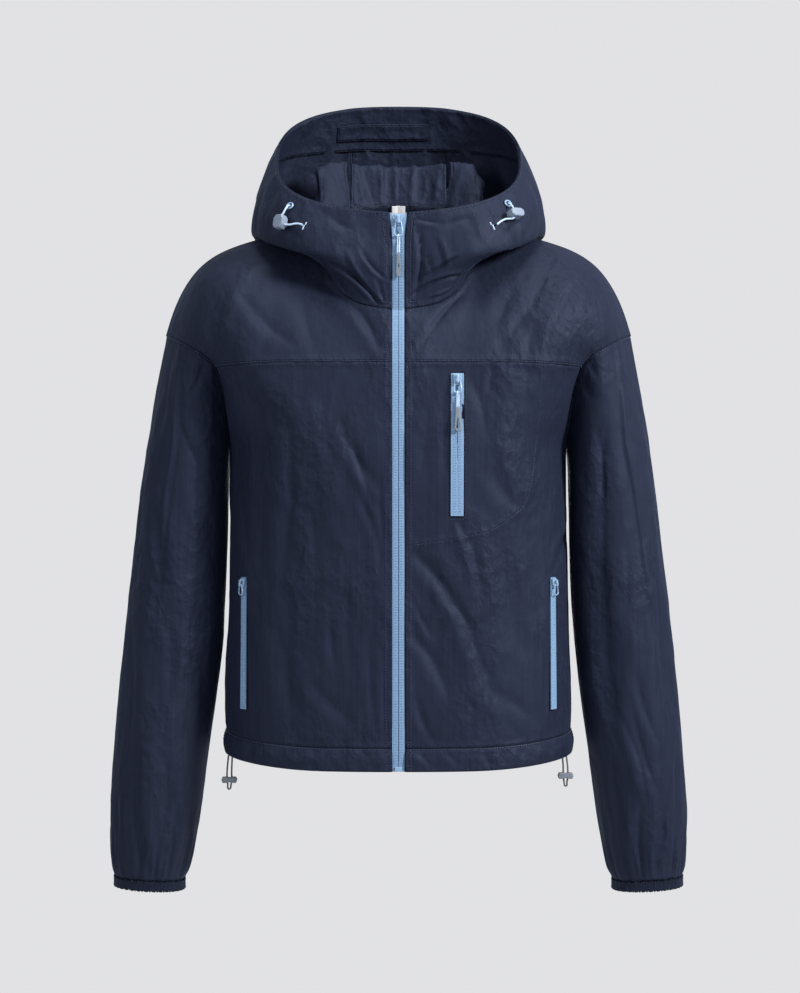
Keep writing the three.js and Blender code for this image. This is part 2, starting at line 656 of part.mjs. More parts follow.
function facingOut(positions, index) {
  const at = (k) => new THREE.Vector3().fromArray(positions, k * 3);
  let volume = 0;
  for (let i = 0; i < index.length; i += 3) {
    volume += at(index[i]).dot(at(index[i + 1]).cross(at(index[i + 2])));
  }
  const geometry = new THREE.BufferGeometry();
  geometry.setAttribute("position", new THREE.Float32BufferAttribute(positions, 3));
  geometry.setIndex(volume < 0 ? index.slice().reverse() : index);
  return geometry;
}

/** Place u where a surface reaches a distance x from the middle at level v, between two places. */
function placeAtX(surface, x, v, near, far) {
  let low = near;
  let high = far;
  const rising = surface(far, v).x > surface(near, v).x;
  for (let i = 0; i < 40; i += 1) {
    const middle = (low + high) / 2;
    if (surface(middle, v).x < x === rising) low = middle;
    else high = middle;
  }
  return (low + high) / 2;
}

// Materials

const finish = (color, roughness, metalness = 0) =>
  new THREE.MeshStandardMaterial({ color, roughness, metalness });
const shellCloth = () => finish("#262b3e", 0.62);
const ribCloth = () => finish("#22273a", 0.7);
const tapeBlue = () => finish("#86a3c4", 0.6);
const paintedBlue = () => finish("#8facca", 0.35, 0.4);
const gripGrey = () => finish("#6d7780", 0.5);
const lockGrey = () => finish("#8b98ad", 0.5);
const cordBlue = () => finish("#b4cae0", 0.7);
const cordGrey = () => finish("#4d5257", 0.8);
const labelWhite = () => finish("#e9e6e8", 0.8);

const jacket = new THREE.Group();
jacket.name = "jacket";

function add(name, geometry, material) {
  const mesh = new THREE.Mesh(geometry, material);
  mesh.name = name;
  jacket.add(mesh);
  return mesh;
}

const sideName = (side) => (side === LEFT ? "left" : "right");
const withSide = (name, side) => name + "_" + sideName(side);

// Body, sleeves and hood

const casing = levelOf(HEM_TOP_Z);
const sideLevels = [casing, ...sideHeights.map(levelOf)];
const upTo = (from, to, count) => steps(from, to, count).slice(1);
const frontLevels = [...sideLevels, ...upTo(levelOf(UNDERARM_Z), 1, FRONT_STEPS_BELOW)];
const yokeLevels = steps(1, 2, ARMHOLE_STEPS - FRONT_STEPS_BELOW);
const backLevels = [
  ...sideLevels,
  ...upTo(levelOf(UNDERARM_Z), 1, BACK_STEPS_BELOW),
  ...upTo(1, 2, ARMHOLE_STEPS - BACK_STEPS_BELOW),
];
const hemLevels = [0, casing / 2, casing];

const frontSurface = (side) => (u, v) => bodyPoint(u, v, -1, side);
const backSurface = (u, v) => bodyPoint(u, v, 1, LEFT);
const shoulderColumns = steps(NECK_SHARE, 1, SHOULDER_STEPS).slice(1);
const neckStart = placeAtX((u, v) => point(neckFront, u), ZIP_HALF, 0, 0, 0.3);
const frontNeckPlaces = steps(neckStart, 1, FRONT_NECK_STEPS);

const frontColumns = (surface) => (v) => {
  const start = placeAtX(surface, ZIP_HALF, v, 0, 0.3);
  return [...steps(start, NECK_SHARE, FRONT_NECK_STEPS), ...shoulderColumns];
};
const backColumns = () => [...backNeckPlaces.map((place) => place * NECK_SHARE), ...shoulderColumns];

const sewn = new Map();
for (const side of [LEFT, RIGHT]) {
  const surface = frontSurface(side);
  const columns = frontColumns(surface);
  sewn.set(withSide("hem_front", side), { rows: sample(surface, columns, hemLevels, side, 1, 2) });
  sewn.set(withSide("front", side), { rows: sample(surface, columns, frontLevels, side, 1, 2) });
  sewn.set(withSide("yoke", side), { rows: sample(surface, columns, yokeLevels, side, 1, 2) });
  const round = () => Array.from({ length: 4 * ARMHOLE_STEPS }, (_, j) => j / (4 * ARMHOLE_STEPS));
  const levels = sleeveSections.map((section) => section.at);
  const rows = sample(sleevePoint, round, levels, side, -1, 1, true);
  sewn.set(withSide("sleeve", side), { rows, ring: true });
}
sewn.set("hem_back", { rows: bothSides(backSurface, backColumns, hemLevels, -1, 2) });
sewn.set("back", { rows: bothSides(backSurface, backColumns, backLevels, -1, 2) });

const shoulders = ["yoke_left", "yoke_right", "back"].map((name) => sewn.get(name).rows);
const hoodPoint = hoodOver(shoulders);
const centreEdge = (t) => {
  if (t === 0) return 1 - backNeckPlaces[CENTRE_NECK_STEPS] / 2;
  return placeAtX(hoodPoint, CENTRE_PANEL_HALF, t, 1, 0.62);
};
const hoodStart = (t) => {
  if (t === 0) return neckStart / 2;
  return placeAtX(hoodPoint, ZIP_HALF + ZIP_FLARE * step(0.75, 1, t), t, 0, 0.2);
};
const halved = (list) => list.flatMap((value, i) => (i ? [(list[i - 1] + value) / 2, value] : [value]));
const seamPlaces = [
  ...frontNeckPlaces.map((place) => place / 2),
  ...backNeckPlaces.slice(CENTRE_NECK_STEPS, -1).reverse().map((place) => 1 - place / 2),
];
const sideShares = halved(seamPlaces).map((a) => (a - neckStart / 2) / (centreEdge(0) - neckStart / 2));
const hoodColumns = (t) => sideShares.map((share) => mix(hoodStart(t), centreEdge(t), share));
const centreColumns = (t) => steps(1, centreEdge(t), 2 * CENTRE_NECK_STEPS);
for (const side of [LEFT, RIGHT]) {
  sewn.set(withSide("hood_side", side), { rows: sample(hoodPoint, hoodColumns, hoodLevels, side, 1) });
}
sewn.set("hood_centre", { rows: bothSides(hoodPoint, centreColumns, hoodLevels, 1, 1) });

sew([...sewn.values()]);
for (const side of [LEFT, RIGHT]) straighten(sewn.get(withSide("sleeve", side)).rows[0]);
for (const [name, { rows, ring }] of sewn) add(name, wall(rows, { ring }), shellCloth());

for (const side of [LEFT, RIGHT]) {
  const round = () => Array.from({ length: 2 * CUFF_RIBS }, (_, j) => j / (2 * CUFF_RIBS));
  const rows = sample(cuffPoint, round, [0, 1], side, -1, 1, true);
  const ribs = (i, j) => (j % 2 ? RIB_HEIGHT : 0);
  add(withSide("cuff", side), wall(rows, { ring: true, ribs, thickness: CUFF_WALL }), ribCloth());
}

// Casing round the hood's opening, its stitched strip, and the neck label

const fromBack = (t) => [...centreColumns(t), ...hoodColumns(t).reverse().slice(1)];
/** Point of the casing under the hood's columns. q: 0 middle back, 1 zip. s: 0 low edge, 1 opening. */
function casingPoint(q, s) {
  const t = 1 - (1 - s) * mix(CASING_BACK, CASING_FRONT, step(0.2, 0.8, q));
  const columns = fromBack(t);
  const i = Math.min(columns.length - 2, Math.floor(q * (columns.length - 1) + 1e-9));
  return hoodPoint(mix(columns[i], columns[i + 1], q * (columns.length - 1) - i), t);
}
const casingColumns = () => steps(0, 1, fromBack(1).length - 1);
const casingRows = bothSides(casingPoint, casingColumns, [0, 0.5, 1], -1, 1);
const casingIn = -CLOTH - 2.5 * SEAM_GAP;
const mirrorFrom = fromBack(1).length - 1 + 2 * CENTRE_NECK_STEPS;
add("hood_casing", wall(shifted(casingRows, casingIn), { thickness: FACING, mirrorFrom }), shellCloth());

const between = (a, b, share) => ({
  p: a.p.clone().lerp(b.p, share),
  n: a.n.clone().lerp(b.n, share).normalize(),
});
/** Cell of a grid at a place between its rows and columns. */
function cellAt(rows, i, j) {
  const row = Math.min(rows.length - 2, Math.floor(i));
  const column = Math.min(rows[0].length - 2, Math.floor(j));
  const along = (cells) => between(cells[column], cells[column + 1], j - column);
  const [low, high] = [along(rows[row]), along(rows[row + 1])];
  return between(low, high, i - row);
}
/** Place between a row's columns where it reaches x, from its middle outwards. */
function columnAt(row, x) {
  const out = Math.sign(x);
  let j = (row.length - 1) / 2;
  while (Math.abs(row[j + out].p.x) < Math.abs(x)) j += out;
  return j + (out * (x - row[j].p.x)) / (row[j + out].p.x - row[j].p.x);
}
const stripFrom = columnAt(casingRows[1], -STRIP_TO_RIGHT);
const stripTo = columnAt(casingRows[1], STRIP_TO_LEFT);
const stripInside = casingRows[1].map((cell, j) => j).filter((j) => j > stripFrom && j < stripTo);
const stripRows = [STRIP_LOW, 1, STRIP_HIGH].map((i) =>
  [stripFrom, ...stripInside, stripTo].map((j) => cellAt(casingRows, i, j)),
);
const stripIn = casingIn - FACING - SEAM_GAP;
add("hood_strip", wall(shifted(stripRows, stripIn), { thickness: FACING }), shellCloth());

const labelColumns = (v) => steps(0, placeAtX(backSurface, LABEL_HALF, v, 0, 0.3), 2);
const labelRows = bothSides(backSurface, labelColumns, steps(LABEL_LOW, LABEL_HIGH, 4), -1, 2);
add("neck_label", wall(shifted(labelRows, -CLOTH - SEAM_GAP), { thickness: FACING }), labelWhite());

// Zip tapes

/** Front edge from the hem to the opening, x from the middle. s: 0 hem, 2 neck seam, 3 opening. */
function zipPoint(x, s) {
  const flare = 1 + (ZIP_FLARE / ZIP_HALF) * step(2.75, 3, s);
  if (s > 2) return hoodPoint(placeAtX(hoodPoint, Math.abs(x) * flare, s - 2, 0, 0.2), s - 2);
  return bodyPoint(placeAtX(frontSurface(0), Math.abs(x), s, 0, 0.3), s, -1, 0);
}
const tapeLevels = [...steps(0, 2, 12), ...hoodLevels.slice(3).map((t) => 2 + t)];
for (const side of [LEFT, RIGHT]) {
  const parting = (s) => step(2.8, 3, s) * TAPE_PARTING;
  const rows = tapeLevels.map((s) =>
    [SEAM_GAP + parting(s), ZIP_HALF - SEAM_GAP].map((x) => {
      const { x: across, y, z } = zipPoint(x, s);
      const p = new THREE.Vector3(across * side, y + TAPE_SET_BACK, z);
      return { p, n: new THREE.Vector3(0, -1, 0) };
    }),
  );
  add(withSide("zip_tape", side), wall(rows, { thickness: FACING }), tapeBlue());
}

/** Zip that lies on a front panel, between two heights, at a distance x from the middle. */
function pocketZip(name, side, { x, lowX, top, bottom, width }) {
  const surface = frontSurface(side);
  const across = (v) => {
    const row = bodyRow(mix(HEM_Z, YOKE_Z, v), -1);
    const half = width / 2 / row.lengths[row.lengths.length - 1];
    const up = (v - levelOf(bottom)) / (levelOf(top) - levelOf(bottom));
    const middle = placeAtX(surface, mix(lowX, x, up), v, 0, 0.95);
    return [middle - half, middle, middle + half];
  };
  const rows = sample(surface, across, steps(levelOf(bottom), levelOf(top), 8), side, 1, 2);
  add(name, wall(shifted(rows, SEAM_GAP + FACING), { thickness: FACING }), tapeBlue());
  return rows;
}

// Small hard pieces. Each is drawn with x across, y up and z out of the cloth, then set in place.

/** Sets a geometry on the cloth at p, facing out along n. */
function place(geometry, p, n) {
  const across = new THREE.Vector3(0, 0, 1).cross(n).normalize();
  const up = new THREE.Vector3().crossVectors(n, across);
  return geometry.applyMatrix4(new THREE.Matrix4().makeBasis(across, up, n).setPosition(p));
}

const plate = (shape, depth, z, edge = 0.3) => {
  const bevel = { bevelEnabled: true, bevelThickness: edge, bevelSize: edge, bevelOffset: -edge };
  const options = { ...bevel, depth: depth - 2 * edge, bevelSegments: 1, curveSegments: 4 };
  return new THREE.ExtrudeGeometry(shape, options).translate(0, 0, z + edge);
};

function outline(points) {
  return new THREE.Shape(points.map(([x, y]) => new THREE.Vector2(x, y)));
}

function cordAlong(points, radius, count) {
  const path = new THREE.CatmullRomCurve3(points.map((p) => new THREE.Vector3(...p)));
  const turns = steps(0, 2 * Math.PI, 8).slice(1);
  const round = outline(turns.map((angle) => [radius * Math.cos(angle), radius * Math.sin(angle)]));
  return new THREE.ExtrudeGeometry(round, { steps: count, extrudePath: path, bevelEnabled: false });
}

function loopAlong(points, radius, count) {
  const corners = points.map((p) => new THREE.Vector3(...p));
  const path = new THREE.CatmullRomCurve3(corners, true, "centripetal");
  return new THREE.TubeGeometry(path, count, radius, 5, true);
}

/** Joins or cuts two closed geometries. */
function solid(geometry) {
  const bare = new THREE.BufferGeometry();
  const position = geometry.getAttribute("position");
  bare.setAttribute("position", position.clone());
  if (geometry.index) bare.setIndex(geometry.index.clone());
  const merged = mergeVertices(bare, 1e-3);
  return new wasm.Manifold(
    new wasm.Mesh({
      numProp: 3,
      vertProperties: new Float32Array(merged.getAttribute("position").array),
      triVerts: new Uint32Array(merged.index.array),
    }),
  );
}

function drawn(manifold) {
  const mesh = manifold.getMesh();
  const geometry = new THREE.BufferGeometry();
  geometry.setAttribute("position", new THREE.Float32BufferAttribute(mesh.vertProperties, 3));
  geometry.setIndex([...mesh.triVerts]);
  return geometry;
}

/** Slider: a plate shaped like a shield with a bridge, through which the pull's ring passes. */
function sliderGeometry({ width, height, wire }) {
  const w = width / 2;
  const h = height / 2;
  const shield = outline([[-w, h], [w, h], [w, 0], [w * 0.7, -h], [-w * 0.7, -h], [-w, 0]]);
  const gap = wire + 2 * RING_PLAY;
  const inside = { low: SLIDER_PLATE, high: SLIDER_PLATE + gap };
  const bridge = outline([
    [-h * 0.9, 0.2], [h * 0.9, 0.2], [h * 0.7, inside.high + 0.6], [-h * 0.6, inside.high + 1.2],
  ]);
  const opening = outline([
    [-h * 0.65, inside.low], [h * 0.5, inside.low], [h * 0.4, inside.high - 0.4], [-h * 0.5, inside.high],
  ]);
  bridge.holes.push(opening);
  const arch = new THREE.ExtrudeGeometry(bridge, { depth: BRIDGE_WIDTH, bevelEnabled: false });
  arch.translate(0, 0, -BRIDGE_WIDTH / 2);
  arch.applyMatrix4(new THREE.Matrix4().makeBasis(
    new THREE.Vector3(0, 1, 0), new THREE.Vector3(0, 0, 1), new THREE.Vector3(1, 0, 0),
  ));
  return drawn(solid(plate(shield, SLIDER_PLATE, 0)).add(solid(arch)));
}

/** Adds a slider and its pull. The ring's top bar lies in the bridge, and the rest hangs from it. */
function addPull(name, p, n, sizes) {
  const { height, wire, ringWidth, ringHeight } = sizes;
  add(name + "_slider", place(sliderGeometry(sizes), p, n), paintedBlue());
  const z = SLIDER_PLATE + RING_PLAY + wire / 2;
  const top = -height * 0.16;
  const half = (ringWidth - wire) / 2;
  const bottom = top - ringHeight + wire;
  const ring = [
    [-half * 0.6, top, z], [0, top, z], [half * 0.6, top, z], [half * 0.85, mix(top, bottom, 0.35), z],
    [half, mix(top, bottom, 0.85), z], [half * 0.5, bottom, z], [0, bottom, z], [-half * 0.5, bottom, z],
    [-half, mix(top, bottom, 0.85), z], [-half * 0.85, mix(top, bottom, 0.35), z],
  ];
  add(name + "_ring", place(loopAlong(ring, wire / 2, 20), p, n), paintedBlue());
  if (!sizes.cord) return;
  const r = (wire + PULL_CORD) / 2 + RING_PLAY;
  const apart = PULL_CORD / 2 + 0.2;
  const end = bottom - wire / 2 - sizes.cord;
  const cord = [
    [-apart, end, z], [-apart, mix(end, bottom, 0.5), z + 0.3], [-apart, bottom - 1.6, z + r * 0.8],
    [-apart * 0.7, bottom, z + r], [0, bottom + r, z], [apart * 0.7, bottom, z - r],
    [apart, bottom - 1.6, z - r * 0.8], [apart, mix(end, bottom, 0.5), z - 0.3], [apart, end, z],
  ];
  add(name + "_cord", place(cordAlong(cord, PULL_CORD / 2, 14), p, n), cordBlue());
  const low = end - SEAM_GAP - sizes.grip;
  const wide = sizes.gripWidth / 2;
  const shape = outline([
    [-wide * 0.62, end - SEAM_GAP], [wide * 0.62, end - SEAM_GAP], [wide * 0.8, mix(end, low, 0.4)],
    [wide, mix(end, low, 0.85)], [wide * 0.6, low], [-wide * 0.6, low], [-wide, mix(end, low, 0.85)],
    [-wide * 0.8, mix(end, low, 0.4)],
  ]);
  const holeTop = mix(end, low, sizes.holeFrom);
  const holeLow = mix(end, low, sizes.holeTo);
  const hole = outline([
    [-0.5, holeTop], [0.5, holeTop], [wide * 0.55, holeLow + 0.8], [wide * 0.35, holeLow],
    [-wide * 0.35, holeLow], [-wide * 0.55, holeLow + 0.8],
  ]);
  const cut = new THREE.ExtrudeGeometry(hole, { depth: 2 * GRIP_DEPTH, bevelEnabled: false });
  cut.translate(0, 0, z - GRIP_DEPTH);
  const grip = drawn(solid(plate(shape, GRIP_DEPTH, z - GRIP_DEPTH / 2)).subtract(solid(cut)));
  add(name + "_grip", place(grip, p, n), gripGrey());
}

/** Point and normal of a grid's middle column, a share of the way up it. */
function onStrip(rows, share) {
  const row = rows[Math.round(share * (rows.length - 1))];
  return row[Math.floor(row.length / 2)];
}

const frontSliderAt = zipPoint(0.4, 2 + FRONT_SLIDER_AT);
frontSliderAt.x = 0;
frontSliderAt.y += TAPE_SET_BACK - SEAM_GAP;
addPull("front", frontSliderAt, new THREE.Vector3(0, -1, 0), pulls.front);
const boxAt = zipPoint(0.4, 0);
const box = plate(outline([[-3.5, 0.4], [3.5, 0.4], [3.5, 5], [-3.5, 5]]), 2, 0);
boxAt.set(0, boxAt.y + TAPE_SET_BACK - SEAM_GAP, boxAt.z);
add("front_zip_box", place(box, boxAt, new THREE.Vector3(0, -1, 0)), paintedBlue());

for (const { name, side, strip: size, pull, drop } of pocketZips) {
  const rows = pocketZip(name + "_tape", side, size);
  const { p, n } = onStrip(rows, 1);
  const at = p.clone().addScaledVector(n, 2 * SEAM_GAP + FACING);
  at.z -= drop;
  at.y -= POCKET_SLIDER_OUT;
  addPull(name, at, n, pulls[pull]);
}

// Drawcords

/** Point and normal of the hood's upper layer that shows at x, z from the front. */
function onHood(x, z) {
  let best = { miss: Infinity };
  for (let a = 0.15; a < 0.6; a += 0.0025) {
    for (let t = 0.52; t < 0.99; t += 0.005) {
      const p = hoodPoint(a, t);
      const miss = Math.hypot(p.x - x, p.z - z);
      if (p.y < 0 && miss < best.miss) best = { miss, a, t, p };
    }
  }
  const { a, t, p } = best;
  const n = hoodPoint(a + 0.01, t).sub(p).cross(hoodPoint(a, t + 0.01).sub(p)).normalize();
  return { p, n };
}

for (const side of [LEFT, RIGHT]) {
  const cord = hoodCords[sideName(side)];
  const on = ({ x, z }, out) => {
    const { p, n } = onHood(x, z);
    const at = p.addScaledVector(n, out);
    return { p: new THREE.Vector3(at.x * side, at.y, at.z), n: new THREE.Vector3(n.x * side, n.y, n.z) };
  };
  const eyelet = on(cord.eyelet, SEAM_GAP + 0.2);
  const section = [
    [EYELET_HOLE, 0], [EYELET_RADIUS, 0], [EYELET_RADIUS - 0.5, 1.2], [EYELET_HOLE + 0.4, 1.2],
    [EYELET_HOLE, 0],
  ];
  const washer = new THREE.LatheGeometry(section.map(([x, y]) => new THREE.Vector2(x, y)), 18);
  washer.applyQuaternion(new THREE.Quaternion().setFromUnitVectors(new THREE.Vector3(0, 1, 0), eyelet.n));
  washer.translate(...eyelet.p);
  add(withSide("hood_eyelet", side), washer, paintedBlue());
  const path = cord.path.map(({ x, z, out }) => on({ x, z }, out).p.toArray());
  const run = cordAlong(path, HOOD_CORD / 2, 15);
  add(withSide("hood_cord", side), run, cordBlue());
  const at = on(cord.lock, cord.lock.out);
  const [w, h] = [cord.lock.width / 2, cord.lock.height / 2];
  const corners = [
    [-w, -h * 0.5], [-w * 0.6, -h], [w * 0.6, -h], [w, -h * 0.5],
    [w, h * 0.5], [w * 0.6, h], [-w * 0.6, h], [-w, h * 0.5],
  ];
  const block = place(plate(outline(corners), cord.lock.depth, -cord.lock.depth / 2, 0.8), at.p, at.n);
  const tunnel = cordAlong(path, HOOD_CORD / 2 + SEAM_GAP, 15);
  add(withSide("hood_lock", side), drawn(solid(block).subtract(solid(tunnel))), lockGrey());
}

for (const side of [LEFT, RIGHT]) {
  const { x, lock, low, lean } = hemLoops[sideName(side)];
  const half = HEM_STRANDS / 2;
  const surface = frontSurface(side);
  const [inner, outer] = [x - half, x + half].map((at) => {
    const p = surface(placeAtX(surface, at, 0, 0.3, 0.95), 0);
    return [at, p.y + CLOTH / 2, p.z - SEAM_GAP];
  });
  const y = (inner[1] + outer[1]) / 2;
  const loop = [
    inner, [x - half + lean, y, mix(inner[2], lock, 0.6)], [x - half + lean, y, lock],
    [x - half * 0.5 + lean, y, low + 3], [x + lean, y, low], [x + half * 0.5 + lean, y, low + 3],
    [x + half + lean, y, lock], [x + half + lean, y, mix(outer[2], lock, 0.6)], outer,
  ].map(([px, py, pz]) => [px * side, py, pz]);
  add(withSide("hem_cord", side), cordAlong(loop, HEM_CORD / 2, 20), cordGrey());
  const w = LOCK_WIDTH / 2;
  const h = LOCK_HEIGHT / 2;
  const bean = outline([
    [-w, 0], [-w * 0.85, -h], [-w * 0.5, -h], [0, -h * 0.8], [w * 0.5, -h], [w * 0.85, -h], [w, 0],
    [w * 0.85, h], [w * 0.5, h], [0, h * 0.8], [-w * 0.5, h], [-w * 0.85, h],
  ]);
  const at = new THREE.Vector3((x + lean) * side, y, lock);
  const block = place(plate(bean, LOCK_DEPTH, -LOCK_DEPTH / 2, 0.8), at, new THREE.Vector3(0, -1, 0));
  const slot = new THREE.BoxGeometry(HEM_STRANDS + HEM_CORD + 1.2, HEM_CORD + 0.8, LOCK_HEIGHT * 2);
  slot.translate(...at);
  add(withSide("hem_lock", side), drawn(solid(block).subtract(solid(slot))), gripGrey());
}

export default jacket;
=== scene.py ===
# Short hooded zip jacket in thin crinkled nylon, filled out as if worn, with its hood down and open.
# The wearer faces -Y and their left is +X. Tables of creases and outlines are in millimetres, and the
# routes of the cords are in metres.
import math

import bmesh
import bpy
import numpy as np
from mathutils import Matrix, Vector, noise
from mathutils.bvhtree import BVHTree
from mathutils.kdtree import KDTree


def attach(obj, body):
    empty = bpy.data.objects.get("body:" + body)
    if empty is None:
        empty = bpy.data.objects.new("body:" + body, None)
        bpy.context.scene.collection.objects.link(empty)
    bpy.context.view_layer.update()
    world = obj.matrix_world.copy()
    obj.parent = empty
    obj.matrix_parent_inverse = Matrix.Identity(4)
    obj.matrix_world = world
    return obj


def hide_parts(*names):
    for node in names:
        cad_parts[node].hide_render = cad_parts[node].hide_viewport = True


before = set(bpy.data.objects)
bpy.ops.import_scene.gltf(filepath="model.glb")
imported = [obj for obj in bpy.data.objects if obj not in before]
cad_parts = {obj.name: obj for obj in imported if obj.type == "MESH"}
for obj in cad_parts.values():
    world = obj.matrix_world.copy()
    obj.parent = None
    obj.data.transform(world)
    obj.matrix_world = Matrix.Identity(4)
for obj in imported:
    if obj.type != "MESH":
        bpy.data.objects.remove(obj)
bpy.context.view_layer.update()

# Camera, level with the middle of the jacket and two and a half metres in front of it
camera = bpy.data.objects.new("camera", bpy.data.cameras.new("camera"))
bpy.context.scene.collection.objects.link(camera)
camera.location = (0.0016, -2.5, -0.288)
camera.rotation_euler = (math.pi / 2, 0, 0)
camera.data.lens = 85.5
bpy.context.scene.camera = camera


# Drawcord of the hood: a thin braided pale blue cord that comes out of an eyelet at each side of the
# collar, runs through a moulded lock, and is caught down by a bar tack nearer to the zip.
def finish(name, colour, roughness, metallic=0.0, coat=0.0):
    """A new material and its Principled shader."""
    material = bpy.data.materials.new(name)
    material.use_nodes = True
    shader = material.node_tree.nodes["Principled BSDF"]
    shader.inputs["Base Color"].default_value = (*colour, 1)
    shader.inputs["Roughness"].default_value = roughness
    shader.inputs["Metallic"].default_value = metallic
    shader.inputs["Coat Weight"].default_value = coat
    return material, shader


def group_ends(name, inputs, outputs):
    """A shader node group with named value inputs and named outputs."""
    group = bpy.data.node_groups.new(name, "ShaderNodeTree")
    for label, value in inputs:
        socket = group.interface.new_socket(label, in_out="INPUT", socket_type="NodeSocketFloat")
        socket.default_value = value
    for label, kind in outputs:
        group.interface.new_socket(label, in_out="OUTPUT", socket_type=kind)
    return group, group.nodes.new("NodeGroupInput"), group.nodes.new("NodeGroupOutput")


def grain_group():
    """Fine uneven surface of moulded, painted and braided pieces: a mask and a normal."""
    values = [("Scale", 900.0), ("Height", 0.0001)]
    results = [("Mask", "NodeSocketFloat"), ("Normal", "NodeSocketVector")]
    group, given, out = group_ends("fine grain", values, results)
    place = group.nodes.new("ShaderNodeTexCoord")
    spots = group.nodes.new("ShaderNodeTexNoise")
    spots.inputs["Detail"].default_value = 3
    bump = group.nodes.new("ShaderNodeBump")
    bump.inputs["Strength"].default_value = 0.7
    group.links.new(place.outputs["Object"], spots.inputs["Vector"])
    group.links.new(given.outputs["Scale"], spots.inputs["Scale"])
    group.links.new(spots.outputs["Fac"], bump.inputs["Height"])
    group.links.new(given.outputs["Height"], bump.inputs["Distance"])
    group.links.new(spots.outputs["Fac"], out.inputs["Mask"])
    group.links.new(bump.outputs["Normal"], out.inputs["Normal"])
    return group


grain = grain_group()


def textured(material, shader, group, values):
    """A shader group in a material, with its normal joined up."""
    node = material.node_tree.nodes.new("ShaderNodeGroup")
    node.node_tree = group
    for label, value in values.items():
        node.inputs[label].default_value = value
    material.node_tree.links.new(node.outputs["Normal"], shader.inputs["Normal"])
    return node


def toned(material, shader, mask, colour, low, high):
    """The colour between a darker and a lighter share of itself, by a mask."""
    tone = material.node_tree.nodes.new("ShaderNodeMix")
    tone.data_type = "RGBA"
    tone.inputs["A"].default_value = (*(c * low for c in colour), 1)
    tone.inputs["B"].default_value = (*(c * high for c in colour), 1)
    material.node_tree.links.new(mask, tone.inputs["Factor"])
    material.node_tree.links.new(tone.outputs["Result"], shader.inputs["Base Color"])


def glossed(material, shader, mask, roughness, spread):
    """The roughness varied by a mask."""
    gloss = material.node_tree.nodes.new("ShaderNodeMapRange")
    gloss.inputs["To Min"].default_value = roughness - spread
    gloss.inputs["To Max"].default_value = roughness + spread
    material.node_tree.links.new(mask, gloss.inputs["Value"])
    material.node_tree.links.new(gloss.outputs["Result"], shader.inputs["Roughness"])


def grained(name, colour, roughness, scale, height, metallic=0.0, coat=0.0):
    """A finish with the fine grain in its colour, its roughness and its normal."""
    material, shader = finish(name, colour, roughness, metallic, coat)
    node = textured(material, shader, grain, {"Scale": scale, "Height": height})
    toned(material, shader, node.outputs["Mask"], colour, 0.88, 1.12)
    glossed(material, shader, node.outputs["Mask"], roughness, 0.08)
    return material


def put(name, mesh, body="jacket"):
    """Shows a finished mesh or curve as a piece on a body."""
    piece = bpy.data.objects.new(name.replace(" ", "_"), mesh)
    bpy.context.scene.collection.objects.link(piece)
    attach(piece, body)
    return piece


def merged_copy(node):
    """A bmesh of a CAD node with its loose triangles joined up."""
    shape = bmesh.new()
    shape.from_mesh(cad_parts[node].data)
    bmesh.ops.remove_doubles(shape, verts=shape.verts, dist=0.00002)
    return shape


def piece_of(node, shape, material, body):
    """A smooth-shaded piece in the place of a CAD node."""
    mesh = bpy.data.meshes.new(node + " piece")
    shape.to_mesh(mesh)
    shape.free()
    for face in mesh.polygons:
        face.use_smooth = True
    mesh.materials.append(material)
    piece = put(node + " piece", mesh, body)
    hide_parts(node)
    return piece


def moulded(node, edge, material, body="jacket"):
    """The CAD node with its edges rounded over."""
    shape = merged_copy(node)
    bmesh.ops.dissolve_limit(shape, angle_limit=0.02, verts=shape.verts, edges=shape.edges)
    piece = piece_of(node, shape, material, body)
    bevel = piece.modifiers.new("rounded edges", "BEVEL")
    bevel.width = edge
    bevel.segments = 3
    bevel.limit_method = "ANGLE"
    bevel.angle_limit = math.radians(25)
    bevel.harden_normals = True
    return piece


def softened(node, swell, material, body):
    """The CAD node made smooth and round. swell makes up for what smoothing takes off."""
    shape = merged_copy(node)
    for vertex, normal in [(v, v.normal.copy()) for v in shape.verts]:
        vertex.co += normal * swell
    smooth = piece_of(node, shape, material, body).modifiers.new("smooth", "SUBSURF")
    smooth.levels = smooth.render_levels = 2


def cord_piece(name, points, width, material):
    """A braided cord on one smooth line through the points."""
    line = bpy.data.curves.new(name, "CURVE")
    line.dimensions = "3D"
    line.resolution_u = 6
    line.bevel_depth = width / 2
    line.bevel_resolution = 4
    line.use_fill_caps = True
    spline = line.splines.new("BEZIER")
    spline.bezier_points.add(len(points) - 1)
    for knot, place in zip(spline.bezier_points, points):
        knot.co = place
        knot.handle_left_type = knot.handle_right_type = "AUTO"
    line.materials.append(material)
    return put(name, line)


